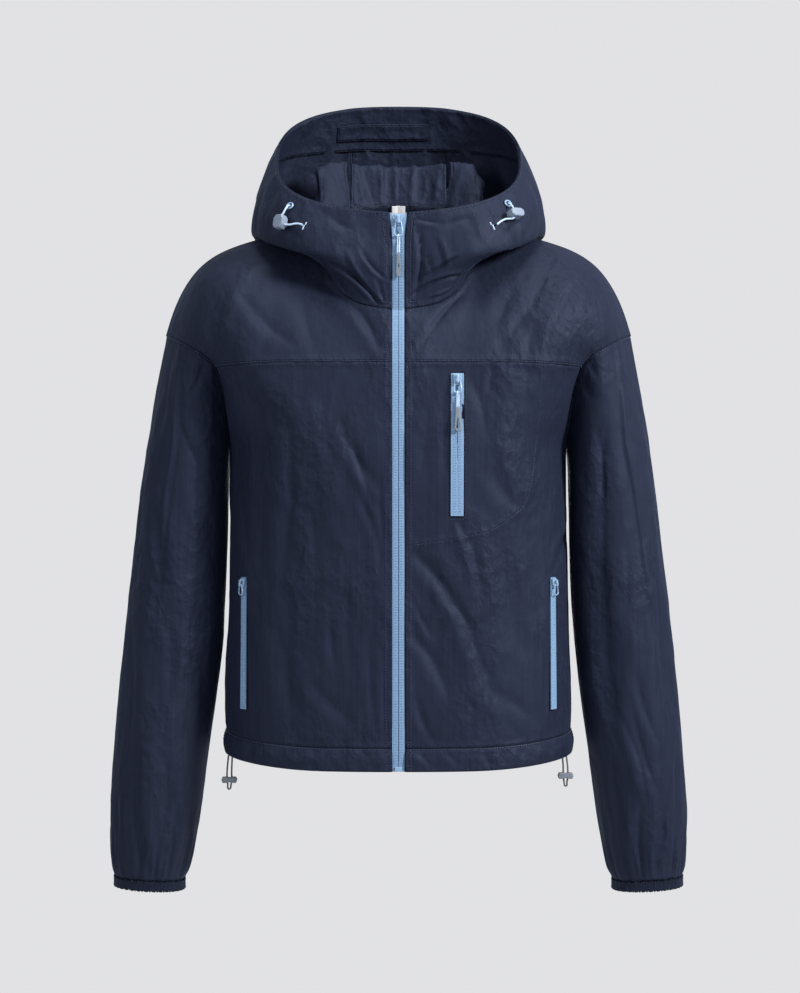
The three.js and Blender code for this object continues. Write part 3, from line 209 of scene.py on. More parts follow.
HOOD_CORD = 0.002
hood_cord_finish = grained("pale blue braid", (0.44, 0.57, 0.74), 0.72, 2600, 0.00012)
lock_finish = grained("moulded lock", (0.19, 0.235, 0.30), 0.42, 1400, 0.00002, coat=0.15)
painted = grained("pale blue paint", (0.27, 0.41, 0.58), 0.36, 700, 0.00001, metallic=0.25, coat=0.3)
hood_cord_routes = {
    "left": [
        (0.1130, -0.0782, 0.0133), (0.1144, -0.0813, 0.0121), (0.1158, -0.0842, 0.0103),
        (0.1171, -0.0866, 0.0080), (0.1184, -0.0880, 0.0049), (0.1191, -0.0889, 0.0015),
        (0.1185, -0.0906, -0.0017), (0.1164, -0.0922, -0.0041), (0.1129, -0.0926, -0.0045),
        (0.1093, -0.0930, -0.0049), (0.1061, -0.0939, -0.0064), (0.1032, -0.0951, -0.0083),
        (0.1007, -0.0965, -0.0105),
    ],
    "right": [
        (-0.1117, -0.0807, 0.0106), (-0.1135, -0.0844, 0.0096), (-0.1153, -0.0868, 0.0067),
        (-0.1171, -0.0881, 0.0031), (-0.1192, -0.0884, -0.0005), (-0.1211, -0.0884, -0.0043),
        (-0.1204, -0.0903, -0.0078), (-0.1177, -0.0926, -0.0101), (-0.1137, -0.0940, -0.0106),
        (-0.1096, -0.0950, -0.0106), (-0.1055, -0.0956, -0.0098), (-0.1014, -0.0965, -0.0100),
        (-0.0977, -0.0980, -0.0113),
    ],
}
for side, length in (("left", 0.0437), ("right", 0.0509)):
    points = hood_cord_routes[side]
    cord = cord_piece("hood cord " + side, points, HOOD_CORD, hood_cord_finish)
    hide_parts("hood_cord_" + side)
    lock = moulded("hood_lock_" + side, 0.0012, lock_finish)
    moulded("hood_eyelet_" + side, 0.0003, painted)


# Drawcord of the hem: a grey elastic loop that hangs out of the casing at each side, through a two-hole
# lock of grey plastic.
HEM_CORD = 0.0018
hem_cord_finish = grained("grey elastic braid", (0.075, 0.082, 0.09), 0.75, 2600, 0.00012)
grip_finish = grained("grey moulded plastic", (0.15, 0.175, 0.205), 0.5, 1200, 0.00003)
hem_cord_routes = {
    "left": [
        (0.1697, -0.0618, -0.5585), (0.1702, -0.0597, -0.5632), (0.1706, -0.0577, -0.5680),
        (0.1707, -0.0571, -0.5731), (0.1708, -0.0573, -0.5783), (0.1715, -0.0573, -0.5835),
        (0.1733, -0.0573, -0.5878), (0.1746, -0.0573, -0.5828), (0.1753, -0.0573, -0.5776),
        (0.1754, -0.0575, -0.5724), (0.1752, -0.0567, -0.5673), (0.1748, -0.0548, -0.5625),
        (0.1743, -0.0527, -0.5578),
    ],
    "right": [
        (-0.1722, -0.0572, -0.5581), (-0.1726, -0.0549, -0.5636), (-0.1730, -0.0527, -0.5691),
        (-0.1732, -0.0516, -0.5749), (-0.1731, -0.0518, -0.5809), (-0.1738, -0.0518, -0.5868),
        (-0.1758, -0.0518, -0.5917), (-0.1773, -0.0518, -0.5860), (-0.1779, -0.0519, -0.5801),
        (-0.1779, -0.0521, -0.5741), (-0.1776, -0.0508, -0.5683), (-0.1772, -0.0487, -0.5628),
        (-0.1768, -0.0465, -0.5573),
    ],
}
for side, length in (("left", 0.0624), ("right", 0.0714)):
    points = hem_cord_routes[side]
    cord = cord_piece("hem cord " + side, points, HEM_CORD, hem_cord_finish)
    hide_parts("hem_cord_" + side)
    lock = moulded("hem_lock_" + side, 0.001, grip_finish)


# Shell cloth: thin navy nylon with a slub, crinkled from washing. Every panel is one wall with its own
# creases, cut to the seams, which show as a fine groove with a line of thread beside it. The grooves and
# the stitch furrows are darkened with painted shade.
def crinkle_group():
    """Slub lines, small crumples, seam grooves and stitch furrows of the shell cloth, with painted shade in the
    grooves and furrows.
    """
    values = [("Crinkle", 0.0011), ("Slub", 0.00012)]
    results = [("Tone", "NodeSocketFloat"), ("Gloss", "NodeSocketFloat"), ("Normal", "NodeSocketVector")]
    group, given, out = group_ends("crinkled nylon", values, results)
    nodes = group.nodes
    link = group.links.new
    place = nodes.new("ShaderNodeTexCoord")

    def drawn_out(along, twist=0.0):
        turn = nodes.new("ShaderNodeMapping")
        turn.inputs["Scale"].default_value = (1, 1, along)
        turn.inputs["Rotation"].default_value = (0, twist, 0)
        link(place.outputs["Object"], turn.inputs["Vector"])
        return turn.outputs["Vector"]

    def stretched(along, scale, detail):
        texture = nodes.new("ShaderNodeTexNoise")
        texture.inputs["Scale"].default_value = scale
        texture.inputs["Detail"].default_value = detail
        link(drawn_out(along), texture.inputs["Vector"])
        return texture

    def attribute(name):
        distance = nodes.new("ShaderNodeAttribute")
        distance.attribute_name = name
        return distance.outputs["Fac"]

    def between(value, low, high, at_low, at_high, smooth=True):
        ranged = nodes.new("ShaderNodeMapRange")
        ranged.interpolation_type = "SMOOTHSTEP" if smooth else "LINEAR"
        for label, number in zip(("From Min", "From Max", "To Min", "To Max"), (low, high, at_low, at_high)):
            ranged.inputs[label].default_value = number
        link(value, ranged.inputs["Value"])
        return ranged.outputs["Result"]

    def worked(operation, first, second=None):
        step = nodes.new("ShaderNodeMath")
        step.operation = operation
        for socket, value in zip(step.inputs, (first, second)):
            if isinstance(value, float):
                socket.default_value = value
            elif value is not None:
                link(value, socket)
        return step.outputs[0]

    def bumped(height, distance, below=None):
        bump = nodes.new("ShaderNodeBump")
        bump.inputs["Strength"].default_value = 1
        link(height, bump.inputs["Height"])
        if isinstance(distance, float):
            bump.inputs["Distance"].default_value = distance
        else:
            link(distance, bump.inputs["Distance"])
        if below is not None:
            link(below, bump.inputs["Normal"])
        return bump.outputs["Normal"]

    def facets(scale, along, twist, wander):
        """Sharp-edged facets, pushed about so that no edge is straight."""
        push = nodes.new("ShaderNodeVectorMath")
        push.operation = "MULTIPLY_ADD"
        push.inputs[1].default_value = (wander, wander, wander)
        link(stretched(1, scale * 0.9, 2).outputs["Color"], push.inputs[0])
        link(drawn_out(along, twist), push.inputs[2])
        cells = nodes.new("ShaderNodeTexVoronoi")
        cells.inputs["Scale"].default_value = scale
        link(push.outputs["Vector"], cells.inputs["Vector"])
        return cells.outputs["Distance"]

    slub = between(stretched(0.03, 330, 5).outputs["Fac"], 0.3, 0.7, 0.0, 1.0, False)
    faint = stretched(0.3, 30, 2).outputs["Fac"]
    hair = stretched(0.06, 1500, 2).outputs["Fac"]
    patches = between(stretched(0.6, 14, 2).outputs["Fac"], 0.42, 0.62, 0.2, 1.0)
    crumple = worked("MULTIPLY", facets(58, 0.45, 0.15, 0.016), patches)
    cross = worked("MULTIPLY", facets(120, 0.7, 0.8, 0.008), patches)
    edge, off_row = attribute("edge"), worked("ABSOLUTE", attribute("row"))
    off_row = worked("MINIMUM", off_row, worked("ABSOLUTE", attribute("outline")))
    close = between(worked("MINIMUM", off_row, edge), 0.0, 0.0075, 1.0, 0.0)
    pucker = worked("MULTIPLY", stretched(0.55, 330, 2).outputs["Fac"], close)
    normal = bumped(between(edge, 0.0, 0.0011, 0.0, 1.0), 0.0004)
    normal = bumped(between(off_row, 0.0, 0.0010, 0.0, 1.0), 0.00045, normal)
    normal = bumped(pucker, 0.0011, normal)
    normal = bumped(crumple, given.outputs["Crinkle"], normal)
    normal = bumped(cross, worked("MULTIPLY", given.outputs["Crinkle"], 0.4), normal)
    normal = bumped(slub, given.outputs["Slub"], normal)
    normal = bumped(hair, 0.00003, normal)
    # painted shade: the colour is darkened in the seam grooves and along the stitch furrows, where shade falls
    groove_shade = between(edge, 0.0002, 0.0008, -0.5, 0.0)
    painted_shade = worked("ADD", groove_shade, between(off_row, 0.0, 0.0009, -0.35, 0.0))
    streak = worked("ADD", worked("MULTIPLY", slub, 0.4), worked("MULTIPLY", hair, 0.25))
    streak = worked("ADD", streak, worked("MULTIPLY", faint, 0.35))
    link(worked("ADD", streak, painted_shade), out.inputs["Tone"])
    link(streak, out.inputs["Gloss"])
    link(normal, out.inputs["Normal"])
    return group


def nylon(name, colour, crinkle, slub, roughness):
    """Shell cloth of one colour."""
    material, shader = finish(name, colour, roughness)
    shader.inputs["Sheen Weight"].default_value = 0.05
    shader.inputs["Sheen Roughness"].default_value = 0.4
    shader.inputs["Sheen Tint"].default_value = (0.35, 0.45, 0.8, 1)
    shader.inputs["Specular IOR Level"].default_value = 0.2
    shader.inputs["Specular Tint"].default_value = (0.6, 0.7, 1.0, 1)
    node = textured(material, shader, crinkled, {"Crinkle": crinkle, "Slub": slub})
    # Tone carries the slub streaks, which are the cloth's own, and the painted shade of the grooves and furrows
    toned(material, shader, node.outputs["Tone"], colour, 0.64, 1.36)
    glossed(material, shader, node.outputs["Gloss"], roughness, 0.1)
    return material


crinkled = crinkle_group()
navy = nylon("navy nylon", (0.0108, 0.0138, 0.0275), 0.0026, 0.00008, 0.62)
CLOTH = 0.0012


def outer_face(node, wall):
    """The outer face of a CAD wall as a grid of quads, without its rim and its inner face."""
    grid = merged_copy(node)
    rim = [f for f in grid.faces if min(e.calc_length() for e in f.edges) < wall * 1.1]
    bmesh.ops.delete(grid, geom=rim, context="FACES")
    start = max(grid.verts, key=lambda v: v.co.x**2 + v.co.y**2)
    kept, rest = {start}, [start]
    while rest:
        for edge in rest.pop().link_edges:
            for vertex in edge.verts:
                if vertex not in kept:
                    kept.add(vertex)
                    rest.append(vertex)
    bmesh.ops.delete(grid, geom=[v for v in grid.verts if v not in kept], context="VERTS")
    bmesh.ops.join_triangles(
        grid, faces=grid.faces, angle_face_threshold=math.pi, angle_shape_threshold=math.pi
    )
    return grid


def smoothed(grid, levels, longest):
    """The grid after Catmull-Clark smoothing, with cells no longer than given."""
    mesh = bpy.data.meshes.new("rough")
    grid.to_mesh(mesh)
    grid.free()
    rough = bpy.data.objects.new("rough", mesh)
    bpy.context.scene.collection.objects.link(rough)
    smooth = rough.modifiers.new("smooth", "SUBSURF")
    smooth.levels = smooth.render_levels = levels
    smooth.boundary_smooth = "PRESERVE_CORNERS"
    evaluated = rough.evaluated_get(bpy.context.evaluated_depsgraph_get())
    fine = bmesh.new()
    fine.from_mesh(evaluated.to_mesh())
    bpy.data.objects.remove(rough)
    for cuts in (2, 1):
        long = [e for e in fine.edges if e.calc_length() > longest * (cuts + 0.5)]
        bmesh.ops.subdivide_edges(fine, edges=long, cuts=cuts, use_grid_fill=True)
    return fine


def creased(table, across, up):
    """Height of a table of creases at places across and up the cloth, all in millimetres.
    A row has both ends of a crease, its half width, its depth (a ridge is below 0) and its bow."""
    total = np.zeros(len(across))
    for x0, z0, x1, z1, width, depth, bow in table:
        length = math.hypot(x1 - x0, z1 - z0)
        dx, dz = (x1 - x0) / length, (z1 - z0) / length
        along = ((across - x0) * dx + (up - z0) * dz) / length
        off = (across - x0) * dz - (up - z0) * dx - bow * 4 * along * (1 - along)
        inside = np.clip((along + 0.1) / 1.2, 0, 1)
        fade = np.clip(4 * inside * (1 - inside), 0, 1) ** 0.8
        lip = np.exp(-(((off - 1.5 * width) / width) ** 2))
        trough = np.exp(-(np.hypot(off, 0.2 * width) - 0.2 * width) / (0.55 * width))
        total -= 1.25 * depth * fade * (trough - 0.45 * lip)
    return total


noise.seed_set(7)


def crumpled(places, size, stretch, shift):
    """Random facets as in washed nylon, raised where they meet, about 0.5 high on the whole."""
    found = []
    for x, y, z in places / size:
        spot = Vector((x, y, z * stretch + shift))
        spot += noise.noise_vector(spot * 0.7) * 0.5
        found.append(math.sqrt(noise.voronoi(spot)[0][0] ** 2 + 0.03))
    return np.array(found)


def edge_distances(fine):
    """How far each vertex lies from the edge of its panel."""
    border = [v for v in fine.verts if v.is_boundary]
    tree = KDTree(len(border))
    for i, vertex in enumerate(border):
        tree.insert(vertex.co, i)
    tree.balance()
    found = []
    for vertex in fine.verts:
        place, i, far = tree.find(vertex.co)
        for edge in border[i].link_edges:
            if edge.is_boundary:
                a, b = edge.verts[0].co, edge.verts[1].co
                t = (vertex.co - a).dot(b - a) / max((b - a).length_squared, 1e-12)
                near = a.lerp(b, min(1, max(0, t)))
                far = min(far, (vertex.co - near).length)
        found.append(far)
    return np.array(found)


def outline_distances(places, corners):
    """Distance of places from a closed outline of x, z in millimetres, below 0 inside it."""
    x, z = places[:, 0] * 1000, places[:, 2] * 1000
    nearest, inside = np.full(len(x), 1e6), np.zeros(len(x), bool)
    for (x0, z0), (x1, z1) in zip(corners, corners[1:] + corners[:1]):
        dx, dz = x1 - x0, z1 - z0
        t = np.clip(((x - x0) * dx + (z - z0) * dz) / (dx * dx + dz * dz), 0, 1)
        nearest = np.minimum(nearest, np.hypot(x - x0 - t * dx, z - z0 - t * dz))
        if dz:
            inside ^= ((z0 > z) != (z1 > z)) & (x < x0 + (z - z0) * dx / dz)
    return np.where(inside, -nearest, nearest) / 1000


def waves(places, across, up):
    """Soft noise at places in metres, with so many waves to the metre."""
    spots = [Vector((x * across, y * across, z * up)) for x, y, z in places]
    return np.array([noise.noise(spot) for spot in spots])


pressed = {}
SEAM_LAP = 0.00045
NECK_LAP = 0.0018
ZIP_INSET = 0.0065
SEAM_INSET = 0.0018


def lap(co):
    """How far a panel's edge runs past its seam: further at the back neck, which is seen from inside."""
    at_neck = abs(co.x) < 0.085 and co.y > 0 and -0.01 < co.z < 0.045
    return NECK_LAP if at_neck else SEAM_LAP


def panel(node, height_at, rows=(), levels=3, longest=0.0035, wall=CLOTH, material=navy,
          worn=1.0, reshape=None, outline=None, even=0):
    """A panel of cloth in the place of a CAD wall. height_at gives how far its points stand out, rows
    where it is stitched (distance from the edge, and a test of the place), worn how crumpled it is."""
    grid = outer_face(node, wall)
    for _ in range(even):
        bmesh.ops.smooth_vert(grid, verts=grid.verts, factor=0.5, use_axis_x=True, use_axis_y=True)
    fine = smoothed(grid, levels, longest)
    far = edge_distances(fine)
    for vertex in [v for v in fine.verts if v.is_boundary]:
        inward = sum((f.calc_center_median() - vertex.co for f in vertex.link_faces), Vector())
        vertex.co -= inward.normalized() * lap(vertex.co)
    fine.normal_update()
    co = np.array([v.co for v in fine.verts])
    normals = np.array([v.normal for v in fine.verts])
    if reshape:
        co = co + reshape(co * 1000) / 1000
    height = height_at(co * 1000, normals)
    wide = waves(co, 24, 9)
    large = crumpled(co * 1000, 36, 0.4, 3.1) - 0.5
    small = crumpled(co * 1000, 15, 0.6, 7.7) - 0.5
    facets = np.clip(0.5 + 1.5 * wide, 0.15, 1) * (2.8 * large + 1.3 * small)
    height = height + worn * (0.6 * wide + 0.3 * waves(co, 60, 22) + facets)
    # creases and crumples fade out towards the seams, where fine puckers take their place
    height = height * np.clip(far / 0.009, 0, 1)
    beside_seam = np.exp(-((far / 0.011) ** 2)) * np.clip(far / 0.002, 0, 1)
    height = height + worn * waves(co, 150, 70) * 0.7 * beside_seam
    moved = co + normals * height[:, None] / 1000
    for vertex, place in zip(fine.verts, moved):
        vertex.co = place
    fine.normal_update()
    pressed[node] = fine
    off_row = np.ones(len(far))
    for inset, here in rows:
        held = np.array([bool(here(v.co * 1000)) for v in fine.verts])
        nearer = held & (np.abs(far - inset) < np.abs(off_row))
        off_row = np.where(nearer, far - inset, off_row)
    mesh = bpy.data.meshes.new(node + " cloth")
    fine.to_mesh(mesh)
    mesh.attributes.new("edge", "FLOAT", "POINT").data.foreach_set("value", far)
    mesh.attributes.new("row", "FLOAT", "POINT").data.foreach_set("value", off_row)
    off_outline = outline_distances(moved, outline) if outline else np.ones(len(far))
    mesh.attributes.new("outline", "FLOAT", "POINT").data.foreach_set("value", off_outline)
    for face in mesh.polygons:
        face.use_smooth = True
    mesh.materials.append(material)
    piece = put(node + " cloth", mesh)
    solid = piece.modifiers.new("wall", "SOLIDIFY")
    solid.thickness = wall
    solid.offset = -1
    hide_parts(node)
    for inset, here in rows:
        stitches.extend(along_edge(node, inset, here))
    return piece


# Thread: fine navy stitches, a little lighter than the cloth, pressed on to the panels.
thread = grained("navy thread", (0.042, 0.054, 0.102), 0.45, 1500, 0.00002)
STITCH = 0.0030
stitches = []


def stitch_shape(size):
    """One stitch as a small mesh: along x, across y, out z."""
    bar = bmesh.new()
    bmesh.ops.create_cube(bar, size=1)
    for vertex in bar.verts:
        if vertex.co.z > 0:
            vertex.co.x *= 0.7
            vertex.co.y *= 0.5
    bmesh.ops.scale(bar, vec=size, verts=bar.verts)
    mesh = bpy.data.meshes.new("stitch")
    bar.to_mesh(mesh)
    bar.free()
    return mesh


def sewn(name, places, size=(0.0019, 0.00055, 0.0005), material=thread):
    """Stitches at places, which are points with the way along the row and the way out of the cloth."""
    one = stitch_shape(size)
    rows = bmesh.new()
    for point, along, out in places:
        first = len(rows.verts)
        rows.from_mesh(one)
        rows.verts.ensure_lookup_table()
        side = out.cross(along).normalized()
        turn = Matrix((along.normalized(), side, out)).transposed().to_4x4()
        turn.translation = point + out * size[2] * 0.25
        for i in range(first, len(rows.verts)):
            rows.verts[i].co = turn @ rows.verts[i].co
    mesh = bpy.data.meshes.new(name)
    rows.to_mesh(mesh)
    rows.free()
    mesh.materials.append(material)
    put(name, mesh)


def spaced(points):
    """Stitch places along a row of points and normals."""
    places, left = [], STITCH / 2
    for (a, n), (b, m) in zip(points, points[1:]):
        length = (b - a).length
        if length < 1e-7 or length > 0.03:
            continue
        while left < length:
            out = n.lerp(m, left / length).normalized()
            along = b - a
            places.append((a.lerp(b, left / length), along - out * along.dot(out), out))
            left += STITCH
        left -= length
    return places


def along_edge(node, inset, where):
    """Stitch places a little inside a panel's edge, where a test of the place in millimetres holds."""
    fine = pressed[node]
    surface = BVHTree.FromBMesh(fine)
    places = []
    fine.edges.index_update()
    rest = {e.index: e for e in fine.edges if e.is_boundary}
    while rest:
        edge = rest.pop(min(rest))
        vertex, row = edge.verts[0], []
        while edge:
            face = edge.link_faces[0]
            middle = (edge.verts[0].co + edge.verts[1].co) / 2
            along = (edge.other_vert(vertex).co - vertex.co).normalized()
            inward = face.calc_center_median() - middle
            inward = (inward - along * inward.dot(along)).normalized()
            point, normal, _, _ = surface.find_nearest(middle + inward * inset)
            if where(point * 1000):
                row.append((point, normal))
            elif row:
                places += spaced(row)
                row = []
            vertex = edge.other_vert(vertex)
            onward = [e.index for e in vertex.link_edges if e.index in rest]
            edge = rest.pop(min(onward)) if onward else None
        places += spaced(row)
    return places


def on_panel(node, points):
    """Stitch places on a panel along points x, z in millimetres, seen from the front."""
    surface = BVHTree.FromBMesh(pressed[node])
    row = []
    for (x0, z0), (x1, z1) in zip(points, points[1:]):
        count = max(1, round(math.hypot(x1 - x0, z1 - z0) / 2))
        for i in range(count):
            x, z = x0 + (x1 - x0) * i / count, z0 + (z1 - z0) * i / count
            point, normal, _, _ = surface.ray_cast(Vector((x / 1000, -1, z / 1000)), Vector((0, 1, 0)))
            if point:
                row.append((point, normal))
    return spaced(row)


# Fronts and yokes: two panels on each side of the zip, joined across the chest. They hang from the
# shoulders, so their creases run down and towards the zip. The left front carries the chest pocket.
front_creases = [
    # x and z of both ends, half width, depth, bow
    (-163, -78, -109, -132, 9, 1.9, 4), (-72, -70, -15, -136, 8, 2.3, -5), (-42, -95, -17, -142, 5, 1.4, 0),
    (-178, -155, -112, -222, 14, 2.6, 6), (-112, -212, -117, -358, 10, 2.2, -4),
    (-56, -215, -20, -280, 7, 2.3, 4), (-20, -270, -15, -336, 5, 1.8, 0), (-44, -240, -22, -300, 4, 1.2, 2),
    (-38, -290, -18, -352, 5, 1.5, -3), (-68, -400, -64, -460, 6, 1.7, 2), (-172, -262, -158, -345, 7, 2.2, -4),
    (-165, -225, -150, -300, 9, 1.6, 3), (-140, -300, -132, -420, 12, 1.4, 4), (-90, -300, -84, -390, 9, 1.2, -3),
    (-52, -360, -46, -470, 8, 1.3, 3), (-86, -478, -46, -515, 8, 1.5, 3), (-120, -430, -112, -530, 10, 1.5, -4),
    (-30, -420, -24, -520, 5, 1.3, 2), (-15, -450, -13, -535, 4, 1.2, 0), (-150, -180, -146, -250, 10, 1.2, 0),
    (-98, -80, -84, -140, 9, 1.0, 3), (-128, -95, -140, -145, 8, 0.9, -2), (-75, -170, -70, -250, 8, 1.0, 3),
    (66, -79, 26, -132, 5, 2.6, 3), (156, -50, 92, -146, 7, 2.7, -6), (188, -62, 160, -112, 6, 1.9, 3),
    (120, -70, 100, -120, 8, 1.4, 3), (14, -344, 75, -428, 8, 2.9, -6), (75, -420, 104, -500, 9, 2.5, 5),
    (40, -372, 66, -410, 5, 1.7, 3), (15, -395, 34, -430, 4, 1.5, 0), (14, -428, 50, -490, 7, 2.1, -5),
    (15, -480, 34, -534, 5, 1.8, 3), (95, -150, 92, -180, 4, 1.5, 0), (96, -262, 124, -300, 9, 2.1, 4),
    (72, -330, 84, -388, 6, 1.4, -2), (108, -340, 128, -450, 12, 1.9, 6), (128, -320, 146, -425, 8, 1.6, -3),
    (174, -328, 163, -352, 4, 2.1, 0), (178, -318, 158, -366, 4, 1.8, -3), (166, -180, 172, -290, 10, 1.4, 3),
    (44, -180, 48, -260, 8, 1.0, 2), (28, -200, 24, -262, 6, 1.0, -2), (88, -480, 140, -520, 8, 1.5, -4),
    (60, -312, 74, -340, 4, 1.3, 0), (54, -312, 44, -336, 4, 1.1, 0), (136, -120, 128, -172, 8, 1.0, 2),
    (72, -165, 90, -230, 9, 1.0, -3), (120, -190, 128, -250, 9, 1.1, 3), (100, -400, 60, -470, 9, 1.0, 3),
]


def laid(table):
    """Heights of a table of creases given by x and z."""
    return lambda places, normals: creased(table, places[:, 0], places[:, 2])


def by_zip(p):
    return abs(p.x) < 13.5


def low_yoke(p):
    return p.z < -135 and 8 < abs(p.x) < 190 and p.y < -40


pocket_outline = [
    (146.5, -157), (145.5, -166), (144.5, -187), (142.5, -216), (139.5, -241), (136.5, -266), (132.5, -287),
    (125.5, -300), (114.5, -309), (103.5, -317), (89.5, -324), (71.5, -328), (44, -333), (13.8, -337),
]
chest_welt = [(51.0, -161), (50.8, -308.5), (53, -311), (65.5, -311), (67.8, -308.5), (68.2, -161)]
for side in ("left", "right"):
    bag = pocket_outline + [(-60, -338), (-60, -60), (147, -60)] if side == "left" else None
    front = panel("front_" + side, laid(front_creases), [(ZIP_INSET, by_zip)], outline=bag)
    rows = [(ZIP_INSET, by_zip), (SEAM_INSET, low_yoke)]
    yoke = panel("yoke_" + side, laid(front_creases), rows, worn=0.65)
stitches += on_panel("front_left", pocket_outline) + on_panel("front_left", chest_welt)

# Back: one panel from the hem casing to the neck, with long soft folds between the shoulder blades.
back_creases = [
    (-150, -90, -90, -210, 12, 2.5, 8), (140, -100, 84, -220, 12, 2.3, -8), (-60, -80, -40, -190, 10, 1.6, 5),
    (52, -70, 36, -170, 9, 1.6, -5), (-165, -240, -120, -330, 10, 2.3, -6), (165, -250, 130, -350, 10, 2.5, 6),
    (-20, -200, -30, -350, 12, 1.7, 8), (40, -230, 58, -380, 12, 1.8, -8), (-100, -330, -88, -470, 12, 2.0, 6),
    (100, -360, 96, -500, 12, 1.8, -5), (-50, -400, -60, -520, 9, 1.6, -5), (10, -380, 4, -520, 10, 1.7, 5),
    (-150, -400, -145, -520, 10, 1.6, 4), (150, -420, 148, -530, 9, 1.5, -3), (60, -440, 70, -535, 7, 1.4, 3),
    (-5, -100, 5, -180, 8, 1.2, 3), (-120, -190, -60, -240, 8, 1.4, -6), (120, -200, 70, -260, 8, 1.5, 6),
    (-170, -150, -150, -220, 8, 1.5, 3), (172, -160, 158, -230, 8, 1.4, -3), (-75, -480, -120, -525, 8, 1.2, 3),
    (28, -500, 44, -536, 6, 1.3, 0), (-16, -470, -30, -535, 6, 1.2, 2), (-90, -60, -105, -110, 9, 1.2, 3),
]


def shoulder_seam(p):
    return p.y < 8 and p.z > -112


back = panel("back", laid(back_creases), [(SEAM_INSET, shoulder_seam)])

# Hem casing: the bottom edge turned up over the drawcord and stitched, gathered a little at the sides.
hem_creases = [
    (20, -545, 34, -562, 4, 1.2, 0), (48, -543, 60, -560, 4, 1.0, 0), (84, -545, 92, -560, 5, 1.0, 0),
    (120, -543, 134, -556, 5, 1.2, 0), (150, -540, 158, -552, 4, 1.3, 0), (-30, -545, -44, -562, 5, 1.0, 0),
    (-70, -545, -80, -560, 5, 1.1, 0), (-110, -545, -124, -558, 5, 1.0, 0), (-148, -541, -156, -554, 4, 1.3, 0),
    (10, -548, 12, -563, 3, 0.8, 0), (-12, -548, -13, -563, 3, 0.8, 0), (104, -548, 110, -560, 4, 0.9, 0),
]


def hem_top(p):
    return p.z > -549 and abs(p.x) > 8


hem_rows = [(0.0016, hem_top)]
for side in ("left", "right"):
    hem = panel("hem_front_" + side, laid(hem_creases), [(ZIP_INSET, by_zip)] + hem_rows, worn=0.8)
hem = panel("hem_back", laid(hem_creases), hem_rows, worn=0.8)

# Sleeves: dropped at the shoulder, one underarm seam, a pressed line down the outer side, long folds
# towards the underarm, and gathers where the cuff draws them in.
sleeve_creases = {
    # degrees round the sleeve (0 inner, 90 front, 180 outer) and z of both ends, half width, depth, bow
    "right": [
        (106, -122, 108, -330, 2.6, -1.5, 0), (92, -200, 68, -340, 14, 3.0, 4), (68, -330, 44, -500, 14, 2.8, -4),
        (100, -215, 78, -252, 6, 2.1, -3), (120, -300, 105, -400, 9, 2.1, 4), (135, -440, 128, -600, 10, 1.9, 5),
        (112, -540, 102, -658, 8, 2.4, -4), (80, -560, 74, -645, 7, 1.9, 3), (92, -420, 86, -540, 9, 1.6, 3),
        (150, -200, 146, -330, 8, 1.5, -3), (140, -600, 138, -664, 6, 1.7, 2), (60, -600, 58, -668, 5, 1.7, 0),
        (124, -150, 130, -230, 7, 1.4, 3), (76, -140, 88, -178, 5, 1.6, 0), (96, -640, 92, -676, 4, 1.3, 0),
        (200, -230, 215, -380, 12, 2.5, -5), (240, -190, 262, -330, 10, 2.5, 5), (285, -260, 300, -420, 12, 2.6, -5),
        (230, -420, 244, -580, 10, 2.0, 4), (270, -480, 262, -640, 9, 2.0, -4), (305, -520, 300, -650, 9, 1.8, 3),
        (210, -560, 205, -660, 7, 1.7, 2), (330, -300, 340, -420, 10, 1.8, 3), (255, -140, 262, -180, 6, 1.5, 0),
    ],
    "left": [
        (104, -122, 117, -372, 2.6, -1.7, 0), (92, -215, 66, -500, 13, 3.2, 6), (70, -128, 84, -166, 5, 1.9, 2),
        (58, -150, 76, -184, 4, 1.9, -2), (96, -130, 106, -156, 4, 1.5, 0), (84, -225, 74, -300, 6, 2.1, -3),
        (88, -500, 104, -590, 6, 1.9, 4), (76, -520, 92, -600, 5, 1.6, -3), (96, -470, 110, -540, 6, 1.5, 3),
        (128, -380, 124, -520, 9, 1.6, -4), (140, -560, 132, -655, 7, 1.9, 3), (112, -610, 100, -664, 6, 2.2, -3),
        (84, -610, 78, -668, 6, 2.0, 2), (150, -250, 152, -360, 8, 1.3, 0), (118, -400, 128, -480, 6, 1.3, -3),
        (56, -560, 60, -640, 7, 1.6, 2), (102, -330, 96, -420, 8, 1.4, 3), (128, -640, 124, -676, 4, 1.4, 0),
        (204, -210, 218, -350, 11, 2.4, 5), (246, -200, 258, -340, 11, 2.5, -5), (282, -240, 304, -400, 12, 2.7, 5),
        (226, -400, 238, -560, 10, 2.1, -4), (266, -470, 268, -630, 9, 1.9, 4), (308, -500, 298, -640, 9, 1.9, -3),
        (214, -580, 208, -662, 7, 1.6, -2), (334, -310, 338, -430, 10, 1.7, -3), (262, -138, 254, -182, 6, 1.6, 0),
    ],
}
sleeve_middle = [(-688, 263, -8), (-612, 256, -7), (-550, 250, -6), (-490, 242, -4), (-380, 231, 0),
                 (-292, 223, 2), (-233, 214, 2), (-118, 212, 2)]


def sleeve_height(side):
    levels = [row[0] for row in sleeve_middle]

    def height_at(places, normals):
        x = np.abs(places[:, 0])
        middle_x = np.interp(places[:, 2], levels, [row[1] for row in sleeve_middle])
        middle_y = np.interp(places[:, 2], levels, [row[2] for row in sleeve_middle])
        turn = np.degrees(np.arctan2(middle_y - places[:, 1], middle_x - x)) % 360
        table = [(a * 0.9, z0, b * 0.9, z1, w, d, bow) for a, z0, b, z1, w, d, bow in sleeve_creases[side]]
        total = creased(table, turn * 0.9, places[:, 2])
        gather = np.clip((-632 - places[:, 2]) / 34, 0, 1) * np.clip((places[:, 2] + 690) / 8, 0, 1)
        fine = np.sin(np.radians(turn) * 31 + 1.4 * np.sin(np.radians(turn) * 5)) * 0.7
        return total + gather * fine

    return height_at


# middle of the sleeve's end, by distance from the middle of the jacket and by y
CUFF_X = 262.7
CUFF_Y = -8


